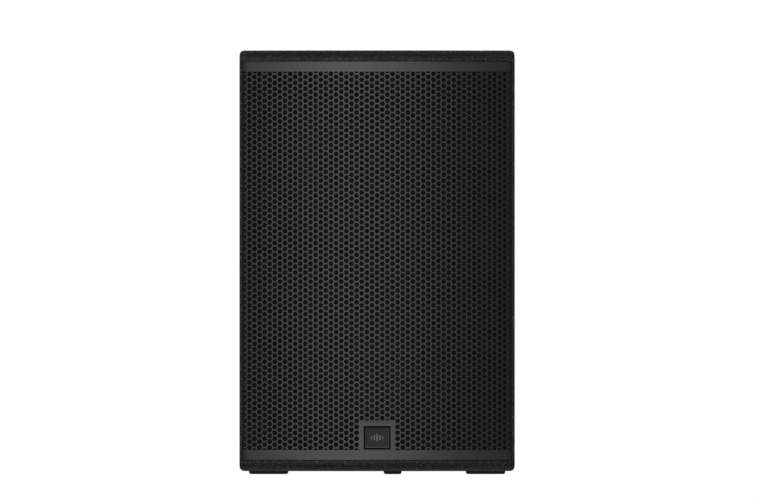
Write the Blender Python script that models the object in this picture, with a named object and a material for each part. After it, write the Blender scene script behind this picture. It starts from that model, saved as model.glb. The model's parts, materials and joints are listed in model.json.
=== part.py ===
"""A powered two-way PA speaker cabinet: a bowed, perforated grille between overhanging plywood panels,
a 15 inch woofer and a horn behind it, and an amplifier module in a recess at the back.

Frame: metres, +Z up, the front faces -Y. The origin is under the middle of the cabinet, on the floor.
"""

import math

import bmesh
import bpy
from mathutils import Matrix, Vector

# ---- Driving dimensions ---------------------------------------------------------------------------

WIDTH = 0.4326  # where the side walls would meet the front; the round corners bring it to 0.432
REAR_WIDTH = 0.360  # the side walls draw in towards the back
DEPTH = 0.400
BODY_HEIGHT = 0.660  # without the feet
FOOT_HEIGHT = 0.005
PLY = 0.018  # plywood of every panel
SHELF_PLY = 0.015
FIT = 0.0003  # gap between pieces that touch

FRONT_Y = -DEPTH / 2
REAR_Y = DEPTH / 2
BODY_BOTTOM = FOOT_HEIGHT
BODY_TOP = FOOT_HEIGHT + BODY_HEIGHT
FLOOR_Z = BODY_BOTTOM + PLY + FIT  # inner faces of the bottom and top panels
CEILING_Z = BODY_TOP - PLY - FIT

GRILLE_RADIUS = 1.110  # the bow of the grille, seen from above
LIP = 0.004  # the top and bottom panels stand this far in front of the grille
GRILLE_SHEET = 0.0015
GRILLE_HALF = 0.2112  # to the outside of its bent edge
GRILLE_BEND = 0.0018
GRILLE_CLEAR = 0.0003  # above and below it
FLANGE_LENGTH = 0.009
FOAM_THICK = 0.006
EDGE_ROUND = 0.007  # roundover of the outer edges
LIP_ROUND = 0.0155  # the same over the front edge of the top and the bottom
FRONT_CORNER = 0.0035  # corners seen from above
REAR_CORNER = 0.008

WALL_START_Y = FRONT_Y + 0.0212  # where the bowed front edge meets the side wall's line
TAPER = math.atan2((WIDTH - REAR_WIDTH) / 2, REAR_Y - WALL_START_Y)
SIDE_FRONT_Y = WALL_START_Y + 0.0043  # the side panels end a little behind the lips
SIDE_LIP = 0.0036  # thin front lip of a side panel, outside the grille's bent edge

BAFFLE_Y = -0.160  # front face of the baffle
REAR_RECESS = 0.024
REAR_PANEL_Y = REAR_Y - REAR_RECESS  # outer face of the rear panel

BADGE_Z = BODY_BOTTOM + 0.0528
BADGE_HOLE = (0.0424, 0.0369)
BADGE_SIZE = (0.0379, 0.0314)

WOOFER_Z = 0.253
HORN_Z = 0.550
PORT_X, PORT_Z = 0.146, 0.068
PORT_RADIUS = 0.036
PORT_LENGTH = 0.118
HANDLE_Y, HANDLE_Z = 0.020, 0.365
SHELF_Z = 0.4405
SOCKET_Y = -0.020
SOCKET_FLANGE = (0.0450, 0.0030)  # radius and thickness, let in flush
FLY_X, FLY_Y = 0.120, 0.000

AMP_Z = 0.340
AMP_OPENING = (0.240, 0.380)
PLATE_SIZE = (0.264, 0.404)
PLATE_THICK = 0.003
COVER_Y = 0.085  # inner end of the amplifier's cover
PLATE_Y = REAR_PANEL_Y + FIT  # inner face of the amplifier's panel
PLATE_FACE = PLATE_Y + PLATE_THICK
JACK_Z = 0.428
JACK_X = 0.078
KNOB_Z = 0.492
KNOB_X = 0.078
BUTTON_X = (-0.018, 0.018)
MAINS_X, MAINS_Z = -0.066, 0.366
SWITCH_X, SWITCH_Z = 0.066, 0.366
SWITCH_TILT = math.radians(10)

COLOURS = {  # slot: (colour, roughness, metallic)
    "coating": ((0.020, 0.020, 0.021), 0.75, 0.0),
    "plywood": ((0.46, 0.30, 0.16), 0.70, 0.0),
    "grille_steel": ((0.030, 0.030, 0.031), 0.42, 0.0),
    "foam": ((0.010, 0.010, 0.010), 0.95, 0.0),
    "badge": ((0.045, 0.045, 0.047), 0.40, 0.0),
    "black_plastic": ((0.018, 0.018, 0.019), 0.50, 0.0),
    "rubber": ((0.014, 0.014, 0.014), 0.80, 0.0),
    "basket_metal": ((0.09, 0.09, 0.10), 0.45, 0.6),
    "magnet_steel": ((0.10, 0.10, 0.11), 0.40, 0.8),
    "cone_paper": ((0.020, 0.020, 0.022), 0.85, 0.0),
    "cloth": ((0.015, 0.015, 0.016), 0.90, 0.0),
    "coil": ((0.60, 0.42, 0.18), 0.40, 0.5),
    "titanium": ((0.50, 0.50, 0.52), 0.30, 1.0),
    "panel_metal": ((0.030, 0.030, 0.032), 0.45, 0.3),
    "steel": ((0.45, 0.45, 0.46), 0.35, 1.0),
    "circuit_board": ((0.02, 0.16, 0.06), 0.50, 0.0),
    "copper": ((0.55, 0.27, 0.12), 0.40, 0.8),
    "batting": ((0.42, 0.42, 0.40), 1.00, 0.0),
    "cable": ((0.012, 0.012, 0.013), 0.55, 0.0),
}

# ---- Small tools ----------------------------------------------------------------------------------


def clear_scene():
    for obj in list(bpy.data.objects):
        bpy.data.objects.remove(obj, do_unlink=True)


def material(slot):
    """The material of a slot, made once."""
    found = bpy.data.materials.get(slot)
    if found:
        return found
    colour, roughness, metallic = COLOURS[slot]
    made = bpy.data.materials.new(slot)
    made.use_nodes = True
    shader = made.node_tree.nodes["Principled BSDF"]
    shader.inputs["Base Color"].default_value = (*colour, 1.0)
    shader.inputs["Roughness"].default_value = roughness
    shader.inputs["Metallic"].default_value = metallic
    made.diffuse_color = (*colour, 1.0)
    return made


def finish(name, bm, slot, location=(0, 0, 0), rotation=(0, 0, 0)):
    """Turns a closed bmesh into a named object."""
    bmesh.ops.recalc_face_normals(bm, faces=bm.faces)
    mesh = bpy.data.meshes.new(name)
    bm.to_mesh(mesh)
    bm.free()
    mesh.shade_smooth()
    mesh.set_sharp_from_angle(angle=math.radians(35))
    obj = bpy.data.objects.new(name, mesh)
    obj.data.materials.append(material(slot))
    obj.location = location
    obj.rotation_euler = rotation
    bpy.context.scene.collection.objects.link(obj)
    return obj


def bridge(bm, lower, upper):
    """Quads between two closed rings of as many vertices."""
    count = len(lower)
    for i in range(count):
        j = (i + 1) % count
        bm.faces.new((lower[i], lower[j], upper[j], upper[i]))


def lofted(rings, capped=True):
    """A bmesh through rings of points. Without caps, the last ring joins the first."""
    bm = bmesh.new()
    rows = [[bm.verts.new(point) for point in ring] for ring in rings]
    for lower, upper in zip(rows, rows[1:]):
        bridge(bm, lower, upper)
    if capped:
        bm.faces.new(reversed(rows[0]))
        bm.faces.new(rows[-1])
    else:
        bridge(bm, rows[-1], rows[0])
    return bm


def prism(outline, low, high, axis="Z"):
    """A bmesh of a flat outline drawn out along an axis: an outline is (x, z) along Y and (y, z) along X."""
    place = {
        "Z": lambda p, h: (p[0], p[1], h),
        "Y": lambda p, h: (p[0], h, p[1]),
        "X": lambda p, h: (h, p[0], p[1]),
    }[axis]
    return lofted([[place(p, low) for p in outline], [place(p, high) for p in outline]])


def turned(profile, segments):
    """A bmesh of a closed profile of (radius, z) points turned about Z."""
    bm = bmesh.new()
    rings = []
    for radius, z in profile:
        if radius < 1e-9:
            rings.append([bm.verts.new((0, 0, z))])
            continue
        steps = [2 * math.pi * i / segments for i in range(segments)]
        rings.append([bm.verts.new((radius * math.cos(a), radius * math.sin(a), z)) for a in steps])
    for first, second in zip(rings, rings[1:] + rings[:1]):
        if len(first) == 1 and len(second) == 1:
            continue
        if len(first) > 1 and len(second) > 1:
            bridge(bm, first, second)
            continue
        tip, ring = (first, second) if len(first) == 1 else (second, first)
        for i in range(segments):
            bm.faces.new((tip[0], ring[i], ring[(i + 1) % segments]))
    return bm


def box_outline(width, height, x=0.0, y=0.0):
    half, tall = width / 2, height / 2
    return [(x - half, y - tall), (x + half, y - tall), (x + half, y + tall), (x - half, y + tall)]


def round_outline(width, height, radius, x=0.0, y=0.0, steps=3):
    """A rectangle with round corners, counter-clockwise."""
    points = []
    corners = ((1, -1, -90), (1, 1, 0), (-1, 1, 90), (-1, -1, 180))
    for side_x, side_y, start in corners:
        centre_x = x + side_x * (width / 2 - radius)
        centre_y = y + side_y * (height / 2 - radius)
        for i in range(steps + 1):
            angle = math.radians(start + 90 * i / steps)
            points.append((centre_x + radius * math.cos(angle), centre_y + radius * math.sin(angle)))
    return points


def circle_outline(radius, x=0.0, y=0.0, steps=24):
    angles = [2 * math.pi * i / steps for i in range(steps)]
    return [(x + radius * math.cos(a), y + radius * math.sin(a)) for a in angles]


def helper(bm, name):
    """A cutter or a piece to be joined, which isn't a part of its own."""
    bmesh.ops.recalc_face_normals(bm, faces=bm.faces)
    mesh = bpy.data.meshes.new(name)
    bm.to_mesh(mesh)
    bm.free()
    obj = bpy.data.objects.new(name, mesh)
    obj.hide_render = True
    obj.display_type = "WIRE"
    bpy.context.scene.collection.objects.link(obj)
    return obj


def combine(obj, bm, operation="DIFFERENCE", placed=False):
    """Cuts a shape from obj, or joins it on. A placed shape is moved as obj is."""
    tool = helper(bm, f"{obj.name}.{operation.lower()}.{len(obj.modifiers)}")
    if placed:
        tool.location = obj.location
        tool.rotation_euler = obj.rotation_euler
    modifier = obj.modifiers.new(operation.title(), "BOOLEAN")
    modifier.operation = operation
    modifier.solver = "EXACT"
    modifier.object = tool
    return obj


def merged(parts):
    """Several closed bmeshes that lie apart, in one."""
    whole = bmesh.new()
    for part in parts:
        mesh = bpy.data.meshes.new("merging")
        part.to_mesh(mesh)
        part.free()
        whole.from_mesh(mesh)
        bpy.data.meshes.remove(mesh)
    return whole


# ---- The cabinet's plan -----------------------------------------------------------------------------


def wall_x(y):
    """Outer face of the right side wall."""
    return WIDTH / 2 - (y - WALL_START_Y) * math.tan(TAPER)


def inner_x(y):
    """Inner face of the right side wall."""
    return wall_x(y) - PLY / math.cos(TAPER)


def arc(centre, radius, start, end, steps):
    angles = [start + (end - start) * i / steps for i in range(steps + 1)]
    return [(centre[0] + radius * math.cos(a), centre[1] + radius * math.sin(a)) for a in angles]


def side_fillet(inset, radius, front_radius, hub_y):
    """Centre of the corner between the bowed front and the right wall."""
    along = Vector((-math.sin(TAPER), math.cos(TAPER)))
    inward = Vector((-math.cos(TAPER), -math.sin(TAPER)))
    start = Vector((WIDTH / 2, WALL_START_Y)) + inward * (inset + radius)
    from_hub = start - Vector((0, hub_y))
    reach = front_radius - radius
    half_b = from_hub.dot(along)
    c = from_hub.length_squared - reach * reach
    return start + along * (-half_b - math.sqrt(half_b * half_b - c))


def plan_outline(inset=0.0, front_inset=0.0, arc_steps=8, corner_steps=4):
    """The cabinet seen from above, counter-clockwise, drawn in by inset, and its bowed front by more."""
    radius = GRILLE_RADIUS + LIP - inset - front_inset
    hub = (0.0, FRONT_Y + GRILLE_RADIUS + LIP)
    front_round = max(FRONT_CORNER - inset, 0.0006)
    rear_round = max(REAR_CORNER - inset, 0.0006)
    corner = side_fillet(inset, front_round, radius, hub[1])
    meet = math.atan2(corner.y - hub[1], corner.x)
    rear_y = REAR_Y - inset - rear_round
    rear_x = wall_x(rear_y) - (inset + rear_round) / math.cos(TAPER)
    half = arc(hub, radius, -math.pi / 2, meet, arc_steps)[1:-1]
    half += arc(corner, front_round, meet, TAPER, corner_steps)
    half += arc((rear_x, rear_y), rear_round, TAPER, math.pi / 2, corner_steps)
    return [(0.0, hub[1] - radius)] + half + [(-x, y) for x, y in reversed(half)]


def roundover(radius, drop):
    """How far an edge of this radius is drawn in, at a distance drop from its outer face."""
    rise = max(0.0, radius - drop)
    return radius - math.sqrt(radius * radius - rise * rise)


def lip_panel(name, inner_z, outer_z):
    """The top or the bottom panel, with its outer edge rounded over and its front lip eased inside."""
    way = 1 if outer_z > inner_z else -1
    ease, steps = 0.0006, 4
    levels = [(0.0, ease, inner_z), (0.0, 0.0, inner_z + way * ease)]
    sines = [math.sin(math.pi / 2 * i / steps) for i in range(steps)]
    drops = [LIP_ROUND * (1 - sine) for sine in sines] + [EDGE_ROUND * (1 - sine) for sine in sines]
    for drop in sorted(drops, reverse=True) + [0.0]:  # how far each level lies from the outer face
        side_inset = roundover(EDGE_ROUND, drop)
        levels.append((side_inset, roundover(LIP_ROUND, drop) - side_inset, outer_z - way * drop))
    rings = [[(x, y, z) for x, y in plan_outline(inset, front)] for inset, front, z in levels]
    return finish(name, lofted(rings), "coating")


def top_panel():
    panel = lip_panel("top_panel", BODY_TOP - PLY, BODY_TOP)
    outlines = [circle_outline(0.0125, x, FLY_Y) for x in (-FLY_X, FLY_X)]
    combine(panel, merged([prism(outline, BODY_TOP - 0.05, BODY_TOP + 0.05) for outline in outlines]))


def bottom_panel():
    panel = lip_panel("bottom_panel", BODY_BOTTOM + PLY, BODY_BOTTOM)
    radius, thick = SOCKET_FLANGE
    combine(panel, prism(circle_outline(0.0245, 0, SOCKET_Y, 24), -0.05, 0.1))
    combine(panel, prism(circle_outline(radius + FIT, 0, SOCKET_Y, 24), -0.05, BODY_BOTTOM + thick + FIT))


def side_panel(side):
    """A side wall (side is 1 on the right, -1 on the left), with a thin lip outside the grille's edge."""
    ease = 0.0022
    front = arc((wall_x(SIDE_FRONT_Y) - ease, SIDE_FRONT_Y + ease), ease, -math.pi / 2, TAPER, 3)
    rear_y = REAR_Y - REAR_CORNER
    rear_x = wall_x(rear_y) - REAR_CORNER / math.cos(TAPER)
    rear = arc((rear_x, rear_y), REAR_CORNER, TAPER, math.pi / 2, 4)
    inside = [
        (inner_x(REAR_Y), REAR_Y),
        (inner_x(BAFFLE_Y), BAFFLE_Y),
        (wall_x(BAFFLE_Y) - SIDE_LIP, BAFFLE_Y),
        (wall_x(SIDE_FRONT_Y) - SIDE_LIP, SIDE_FRONT_Y),
    ]
    outline = [(side * x, y) for x, y in front + rear + inside]
    name = "right_side_panel" if side > 0 else "left_side_panel"
    panel = finish(name, prism(outline, FLOOR_Z, CEILING_Z), "coating")
    hole = prism(round_outline(0.166, 0.106, 0.014), -0.06, 0.03, "X")
    hole.transform(handle_frame(side))
    combine(panel, hole)


def between_walls(y_low, y_high, z_low, z_high, gap=FIT):
    """A board that fills the width between the side walls."""
    low, high = inner_x(y_low) - gap, inner_x(y_high) - gap
    return prism([(-low, y_low), (low, y_low), (high, y_high), (-high, y_high)], z_low, z_high)


def rear_panel():
    board = between_walls(REAR_PANEL_Y - PLY, REAR_PANEL_Y, FLOOR_Z, CEILING_Z)
    panel = finish("rear_panel", board, "coating")
    combine(panel, prism(box_outline(*AMP_OPENING, 0, AMP_Z), 0.1, 0.3, "Y"))


def front_baffle():
    board = finish("front_baffle", between_walls(BAFFLE_Y, BAFFLE_Y + PLY, FLOOR_Z, CEILING_Z), "coating")
    holes = [circle_outline(0.1768, 0, WOOFER_Z, ROUND_STEPS), horn_outline(0.0785, 0.1385)]
    holes += [circle_outline(PORT_RADIUS + 0.0005, x, PORT_Z) for x in (-PORT_X, PORT_X)]
    combine(board, merged([prism(hole, -0.3, 0.0, "Y") for hole in holes]))


def shelf_brace():
    board = between_walls(BAFFLE_Y + PLY + FIT, 0.055, SHELF_Z, SHELF_Z + SHELF_PLY)
    shelf = finish("shelf_brace", board, "plywood")
    combine(shelf, prism(round_outline(0.210, 0.110, 0.020, 0, -0.045), 0.4, 0.5))


def damping():
    """Polyester batting on the inside of the top panel and on both side walls."""
    top = prism(round_outline(0.290, 0.220, 0.012, 0, 0.020), CEILING_Z - 0.0205, CEILING_Z)
    finish("damping_top", top, "batting")
    low_y, high_y, thick = -0.030, 0.145, 0.020
    for side, name in ((1, "damping_right"), (-1, "damping_left")):
        near = [(inner_x(y) - FIT, y) for y in (low_y, high_y)]
        far = [(inner_x(y) - FIT - thick, y) for y in (high_y, low_y)]
        outline = [(side * x, y) for x, y in near + far]
        finish(name, prism(outline, 0.035, 0.285), "batting")


# ---- Grille and badge -----------------------------------------------------------------------------


def grille_path(depth):
    """The bowed sheet's plan from its left bent edge to its right one, depth behind its front face."""
    hub = Vector((0, FRONT_Y + LIP + GRILLE_RADIUS))
    wall = math.pi / 2 + TAPER
    end_x = GRILLE_HALF
    for _ in range(8):
        heading = math.asin(end_x / GRILLE_RADIUS)
        end_x = GRILLE_HALF - GRILLE_BEND * (1 - math.sin(heading))
    bow = arc(hub, GRILLE_RADIUS - depth, -math.pi / 2, -math.pi / 2 + heading, 10)
    reach = GRILLE_RADIUS - GRILLE_BEND
    centre = hub + Vector((math.sin(heading), -math.cos(heading))) * reach
    bend = arc(centre, GRILLE_BEND - depth, heading - math.pi / 2, wall - math.pi / 2, 4)
    back = Vector((math.cos(wall), math.sin(wall))) * FLANGE_LENGTH
    half = bow[1:-1] + bend + [(bend[-1][0] + back.x, bend[-1][1] + back.y)]
    return [(-x, y) for x, y in reversed(half)] + bow[:1] + half


def grille():
    front, back = grille_path(0.0), grille_path(GRILLE_SHEET)
    low, high = BODY_BOTTOM + PLY + GRILLE_CLEAR, BODY_TOP - PLY - GRILLE_CLEAR
    sheet = finish("grille", prism(front + back[::-1], low, high), "grille_steel")
    combine(sheet, prism(box_outline(*BADGE_HOLE, 0, BADGE_Z), -0.22, -0.18, "Y"))


def grille_foam():
    """Open foam laid behind the sheet, between its bent edges."""
    hub = (0, FRONT_Y + LIP + GRILLE_RADIUS)
    front_radius = GRILLE_RADIUS - GRILLE_SHEET - FIT
    spread = math.asin((GRILLE_HALF - 0.0052) / GRILLE_RADIUS)
    front = arc(hub, front_radius, -math.pi / 2 - spread, -math.pi / 2 + spread, 20)
    back = arc(hub, front_radius - FOAM_THICK, -math.pi / 2 + spread, -math.pi / 2 - spread, 20)
    sheet = finish("grille_foam", prism(front + back, FLOOR_Z + 0.001, CEILING_Z - 0.001), "foam")
    combine(sheet, prism(box_outline(0.054, 0.048, 0, BADGE_Z), -0.22, -0.17, "Y"))


def badge():
    """A black tray behind the opening in the sheet, and the plate that stands in it."""
    sheet_back = FRONT_Y + LIP + GRILLE_SHEET + 0.0005
    tray = prism(round_outline(0.052, 0.046, 0.003, 0, BADGE_Z), sheet_back, sheet_back + 0.0032, "Y")
    finish("badge_holder", tray, "black_plastic")
    width, height = BADGE_SIZE
    front, rear, ease = FRONT_Y + LIP - 0.0006, sheet_back - FIT, 0.0008
    levels = ((0.0, rear), (0.0, front + ease), (ease, front))
    rings = []
    for inset, y in levels:
        outline = round_outline(width - 2 * inset, height - 2 * inset, 0.0015 - inset / 2, 0, BADGE_Z)
        rings.append([(x, y, z) for x, z in outline])
    finish("badge", lofted(rings), "badge")


# ---- Drivers: built about Z with +Z towards the front, then laid along -Y ----------------------------

FACING = (math.pi / 2, 0, 0)
ROUND_STEPS = 32  # of everything turned about the woofer's axis, and of its hole in the baffle


def on_baffle(z):
    return (0, BAFFLE_Y, z)


def driver_ring(name, profile, slot, segments=ROUND_STEPS, z=WOOFER_Z):
    return finish(name, turned(profile, segments), slot, on_baffle(z), FACING)


def woofer_basket():
    """Cast frame: mounting flange, eight arms and the seat of the magnet."""
    profile = [
        (0.1925, 0.0013),
        (0.1925, 0.0065),
        (0.1915, 0.0075),
        (0.1720, 0.0075),
        (0.1720, 0.0040),
        (0.1640, 0.0040),
        (0.1640, 0.0010),
        (0.1700, -0.0040),
        (0.1700, -0.0120),
        (0.1080, -0.0680),
        (0.0940, -0.0680),
        (0.0940, -0.0840),
        (0.0560, -0.0840),
        (0.0560, -0.0900),
        (0.0920, -0.0900),
        (0.1100, -0.0760),
        (0.1755, -0.0150),
        (0.1755, 0.0013),
    ]
    basket = driver_ring("woofer_basket", profile, "basket_metal")
    windows = []
    for i in range(8):
        window = prism([(0.116, -0.034), (0.163, -0.050), (0.163, 0.050), (0.116, 0.034)], -0.12, -0.014)
        window.transform(Matrix.Rotation(math.radians(45 * i + 22.5), 4, "Z"))
        windows.append(window)
    combine(basket, merged(windows), placed=True)


def woofer_gasket():
    driver_ring("woofer_gasket", [(0.1780, FIT), (0.1920, FIT), (0.1920, 0.0010), (0.1780, 0.0010)], "rubber")


def woofer_motor():
    """Top plate, ferrite ring, and back plate with the pole."""
    top_z, ring_z, back_z = -0.0903, -0.1003, -0.1233
    top = [(0.0530, top_z), (0.0880, top_z), (0.0880, top_z - 0.0097), (0.0530, top_z - 0.0097)]
    driver_ring("woofer_top_plate", top, "magnet_steel")
    ring = [(0.0600, ring_z), (0.0930, ring_z), (0.0950, ring_z - 0.002), (0.0950, back_z + 0.0023)]
    ring += [(0.0930, back_z + FIT), (0.0600, back_z + FIT)]
    driver_ring("woofer_magnet", ring, "magnet_steel")
    pole = [(0.0180, top_z - 0.001), (0.0485, top_z - 0.001), (0.0485, back_z), (0.0860, back_z)]
    pole += [(0.0860, back_z - 0.0090), (0.0830, back_z - 0.0120), (0.0180, back_z - 0.0120)]
    driver_ring("woofer_back_plate", pole, "magnet_steel")


def cone_line(radius):
    """Front surface of the cone: a shallow curve from its edge to its neck."""
    edge, neck, depth = 0.1495, 0.0525, 0.0600
    share = (edge - radius) / (edge - neck)
    return -0.0020 - depth * (1.12 * share - 0.12 * share * share)


def woofer_cone():
    steps = 4
    radii = [0.0525 + (0.1495 - 0.0525) * i / steps for i in range(steps + 1)]
    front = [(r, cone_line(r)) for r in radii]
    back = [(r, cone_line(r) - 0.0016) for r in reversed(radii)]
    driver_ring("woofer_cone", front + back, "cone_paper")


def woofer_surround():
    """A pleated cloth edge from the cone's rim to the flange."""
    radii = [0.1460, 0.1505, 0.1540, 0.1575, 0.1605, 0.1635, 0.1715]
    heights = [-0.0014, 0.0010, 0.0060, 0.0015, 0.0060, 0.0044, 0.0044]
    upper = [(r, h + 0.0010) for r, h in zip(radii, heights)]
    lower = list(reversed(list(zip(radii, heights))))
    driver_ring("woofer_surround", upper + lower, "cloth")


def dome_line(rim, rise, base, steps):
    """Half a dome's outline, from its rim at height base to its top. A negative rise bulges down."""
    angles = [math.pi / 2 * i / steps for i in range(steps)]
    return [(rim * math.cos(a), base + rise * math.sin(a)) for a in angles] + [(0.0, base + rise)]


def woofer_dust_cap():
    rim, rise, thick, steps = 0.0600, 0.0200, 0.0008, 4
    base = cone_line(rim) + 0.0007
    outer = dome_line(rim, rise, base, steps)
    inner = dome_line(rim - 0.0012, rise - thick, base, steps)
    driver_ring("woofer_dust_cap", outer + inner[::-1], "cone_paper", 24)


def woofer_voice_coil():
    profile = [(0.0500, -0.0605), (0.0512, -0.0605), (0.0512, -0.0880), (0.0518, -0.0880)]
    profile += [(0.0518, -0.1090), (0.0500, -0.1090)]
    driver_ring("woofer_voice_coil", profile, "coil")


def woofer_spider():
    """Corrugated suspension between the coil's former and its seat on the basket."""
    count = 7
    radii = [0.0525 + (0.0935 - 0.0525) * i / count for i in range(count + 1)]
    heights = [-0.0700 + (0.0022 if i % 2 else 0.0) for i in range(count)] + [-0.0700]
    upper = [(r, h + 0.0008) for r, h in zip(radii, heights)]
    lower = list(reversed(list(zip(radii, heights))))
    driver_ring("woofer_spider", upper + lower, "cloth", 24)


def superellipse(half_width, half_height, power, count=28):
    points = []
    for i in range(count):
        angle = 2 * math.pi * i / count
        c, s = math.cos(angle), math.sin(angle)
        x = half_width * math.copysign(abs(c) ** (2 / power), c)
        points.append((x, half_height * math.copysign(abs(s) ** (2 / power), s)))
    return points


def horn_outline(half_height, half_width):
    """The opening for the horn in the baffle, as (x, z)."""
    return [(x, HORN_Z + z) for x, z in superellipse(half_width, half_height, 7)]


def horn():
    """A waveguide from a wide mouth to a round throat, with a flange at each end."""
    depth, wall, throat, steps = 0.095, 0.0035, 0.0180, 6
    front = 0.0058

    def section(share, extra):
        width = throat + (0.1320 - throat) * (1 - share) ** 0.80
        height = throat + (0.0720 - throat) * (1 - share) ** 1.35
        return superellipse(width + extra, height + extra, 2 + 5 * (1 - share) ** 1.5)

    inner = [([*section(i / steps, 0.0)], front - (depth + front) * i / steps) for i in range(steps + 1)]
    outer = [([*section(i / steps, wall)], -depth * i / steps) for i in range(steps + 1)]
    disc = superellipse(0.0400, 0.0400, 2)
    rings = [(points, z) for points, z in reversed(inner)]
    rings += [(superellipse(0.1500, 0.0900, 12), front - 0.001), (superellipse(0.1500, 0.0900, 12), FIT)]
    rings += [(points, z if i else FIT) for i, (points, z) in enumerate(outer[:-1])]
    rings += [(outer[-1][0], -depth + 0.006), (disc, -depth + 0.006), (disc, -depth)]
    bm = lofted([[(x, y, z) for x, y in points] for points, z in rings], capped=False)
    finish("horn", bm, "black_plastic", on_baffle(HORN_Z), FACING)


def compression_driver():
    """Magnet body with its throat, its rear cap, and the dome that moves between them."""
    front = -0.0953
    body = [(0.0178, front), (0.0400, front), (0.0400, front - 0.006), (0.0560, front - 0.009)]
    body += [(0.0580, front - 0.011), (0.0580, front - 0.031), (0.0560, front - 0.033)]
    body += [(0.0320, front - 0.033), (0.0320, front - 0.030), (0.0230, front - 0.030)]
    driver_ring("compression_driver", body, "magnet_steel", 28, HORN_Z)
    back = front - 0.033 - FIT
    cap = [(0.0480, back), (0.0480, back - 0.010), (0.0440, back - 0.017), (0.0, back - 0.019)]
    cap += [(0.0, back - 0.016), (0.0400, back - 0.0145), (0.0440, back - 0.009), (0.0440, back)]
    driver_ring("compression_driver_cap", cap, "black_plastic", 28, HORN_Z)
    rim, rise, thick, steps, base = 0.0220, 0.0080, 0.0005, 3, front - 0.0312
    behind = dome_line(rim, -rise, base, steps)
    ahead = dome_line(rim - 0.0006, thick - rise, base, steps)
    edge = [(0.0310, base), (0.0310, base - thick), (rim, base - thick)]
    driver_ring("hf_diaphragm", edge + behind[1:] + ahead[::-1], "titanium", 24, HORN_Z)


def port_tube(side, name):
    inside, flare = PORT_RADIUS - 0.003, 0.0045
    profile = [(PORT_RADIUS, -PORT_LENGTH), (PORT_RADIUS, FIT), (0.0410, FIT), (0.0410, 0.0020)]
    for i in range(4):
        angle = math.pi / 2 * i / 3
        profile.append((inside + flare * (1 - math.sin(angle)), 0.0035 - flare * (1 - math.cos(angle))))
    profile.append((inside, -PORT_LENGTH))
    finish(name, turned(profile, 24), "black_plastic", (side * PORT_X, BAFFLE_Y, PORT_Z), FACING)


# ---- Handles, feet and mounting hardware --------------------------------------------------------------


def handle_frame(side):
    """Puts a shape drawn with +X outwards from the wall onto the right (1) or left (-1) side."""
    turn = TAPER if side > 0 else math.pi - TAPER
    place = Matrix.Translation((side * wall_x(HANDLE_Y), HANDLE_Y, HANDLE_Z))
    return place @ Matrix.Rotation(turn, 4, "Z")


def handle(side, name):
    """A moulded cup let into the side wall, with a bar across it to grip."""
    flange = prism(round_outline(0.192, 0.132, 0.020, steps=4), FIT, 0.0030, "X")
    cup = finish(name, flange, "black_plastic")
    cup.matrix_world = handle_frame(side)
    shell = prism(round_outline(0.164, 0.104, 0.013), -0.058, 0.0015, "X")
    hollow = prism(round_outline(0.157, 0.097, 0.010), -0.0545, 0.01, "X")
    bar = prism(round_outline(0.030, 0.020, 0.0095, -0.0125, 0.014, 4), -0.080, 0.080, "Z")
    bar.transform(Matrix.Rotation(math.pi / 2, 4, "X"))
    for bm, operation in ((shell, "UNION"), (hollow, "DIFFERENCE"), (bar, "UNION")):
        bm.transform(handle_frame(side))
        combine(cup, bm, operation)


def pole_socket():
    """A cup for a speaker stand's pole, open downwards."""
    low, high = BODY_BOTTOM, BODY_BOTTOM + 0.0900
    bore, outer = 0.0180, 0.0235
    flange, thick = SOCKET_FLANGE
    profile = [(0.0, high), (outer - 0.002, high), (outer, high - 0.002), (outer, low + thick)]
    profile += [(flange, low + thick), (flange, low + 0.001), (flange - 0.001, low)]
    profile += [(bore + 0.0015, low), (bore, low + 0.0015), (bore, high - 0.004), (0.0, high - 0.004)]
    finish("pole_socket", turned(profile, 24), "black_plastic", (0, SOCKET_Y, 0))


def rubber_foot(name, x, y, width, depth, corner):
    """A foot under the bottom panel, its lower edge rounded."""
    top, ease, steps = BODY_BOTTOM - FIT, 0.0022, 3
    angles = [math.pi / 2 * i / steps for i in range(steps + 1)]
    levels = [(ease * (1 - math.sin(a)), ease * (1 - math.cos(a))) for a in angles]
    rings = []
    for inset, rise in levels + [(0.0, top)]:
        outline = round_outline(width - 2 * inset, depth - 2 * inset, corner - inset, x, y, 3)
        rings.append([(px, py, rise) for px, py in outline])
    finish(name, lofted(rings), "rubber")


def feet():
    front_x, front_y, front_width = 0.1703, -0.130, 0.0620
    rear_x, rear_y, rear_width = 0.1590, 0.135, 0.0360
    depth, corner = 0.0300, 0.0080
    for side, name in ((-1, "left"), (1, "right")):
        rubber_foot(f"foot_front_{name}", side * front_x, front_y, front_width, depth, corner)
        rubber_foot(f"foot_rear_{name}", side * rear_x, rear_y, rear_width, depth, corner)
    rubber_foot("foot_front_middle", 0.0243, -0.144, 0.0282, 0.0282, 0.0140)


def fly_point(side, name):
    """A steel insert with a tapped hole, flush in the top panel."""
    top = BODY_TOP - 0.0002
    profile = [(0.0048, top), (0.0122, top), (0.0122, top - 0.0150), (0.0105, top - 0.0172)]
    profile += [(0.0048, top - 0.0172)]
    finish(name, turned(profile, 18), "steel", (side * FLY_X, FLY_Y, 0))


# ---- Amplifier module -----------------------------------------------------------------------------


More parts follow.
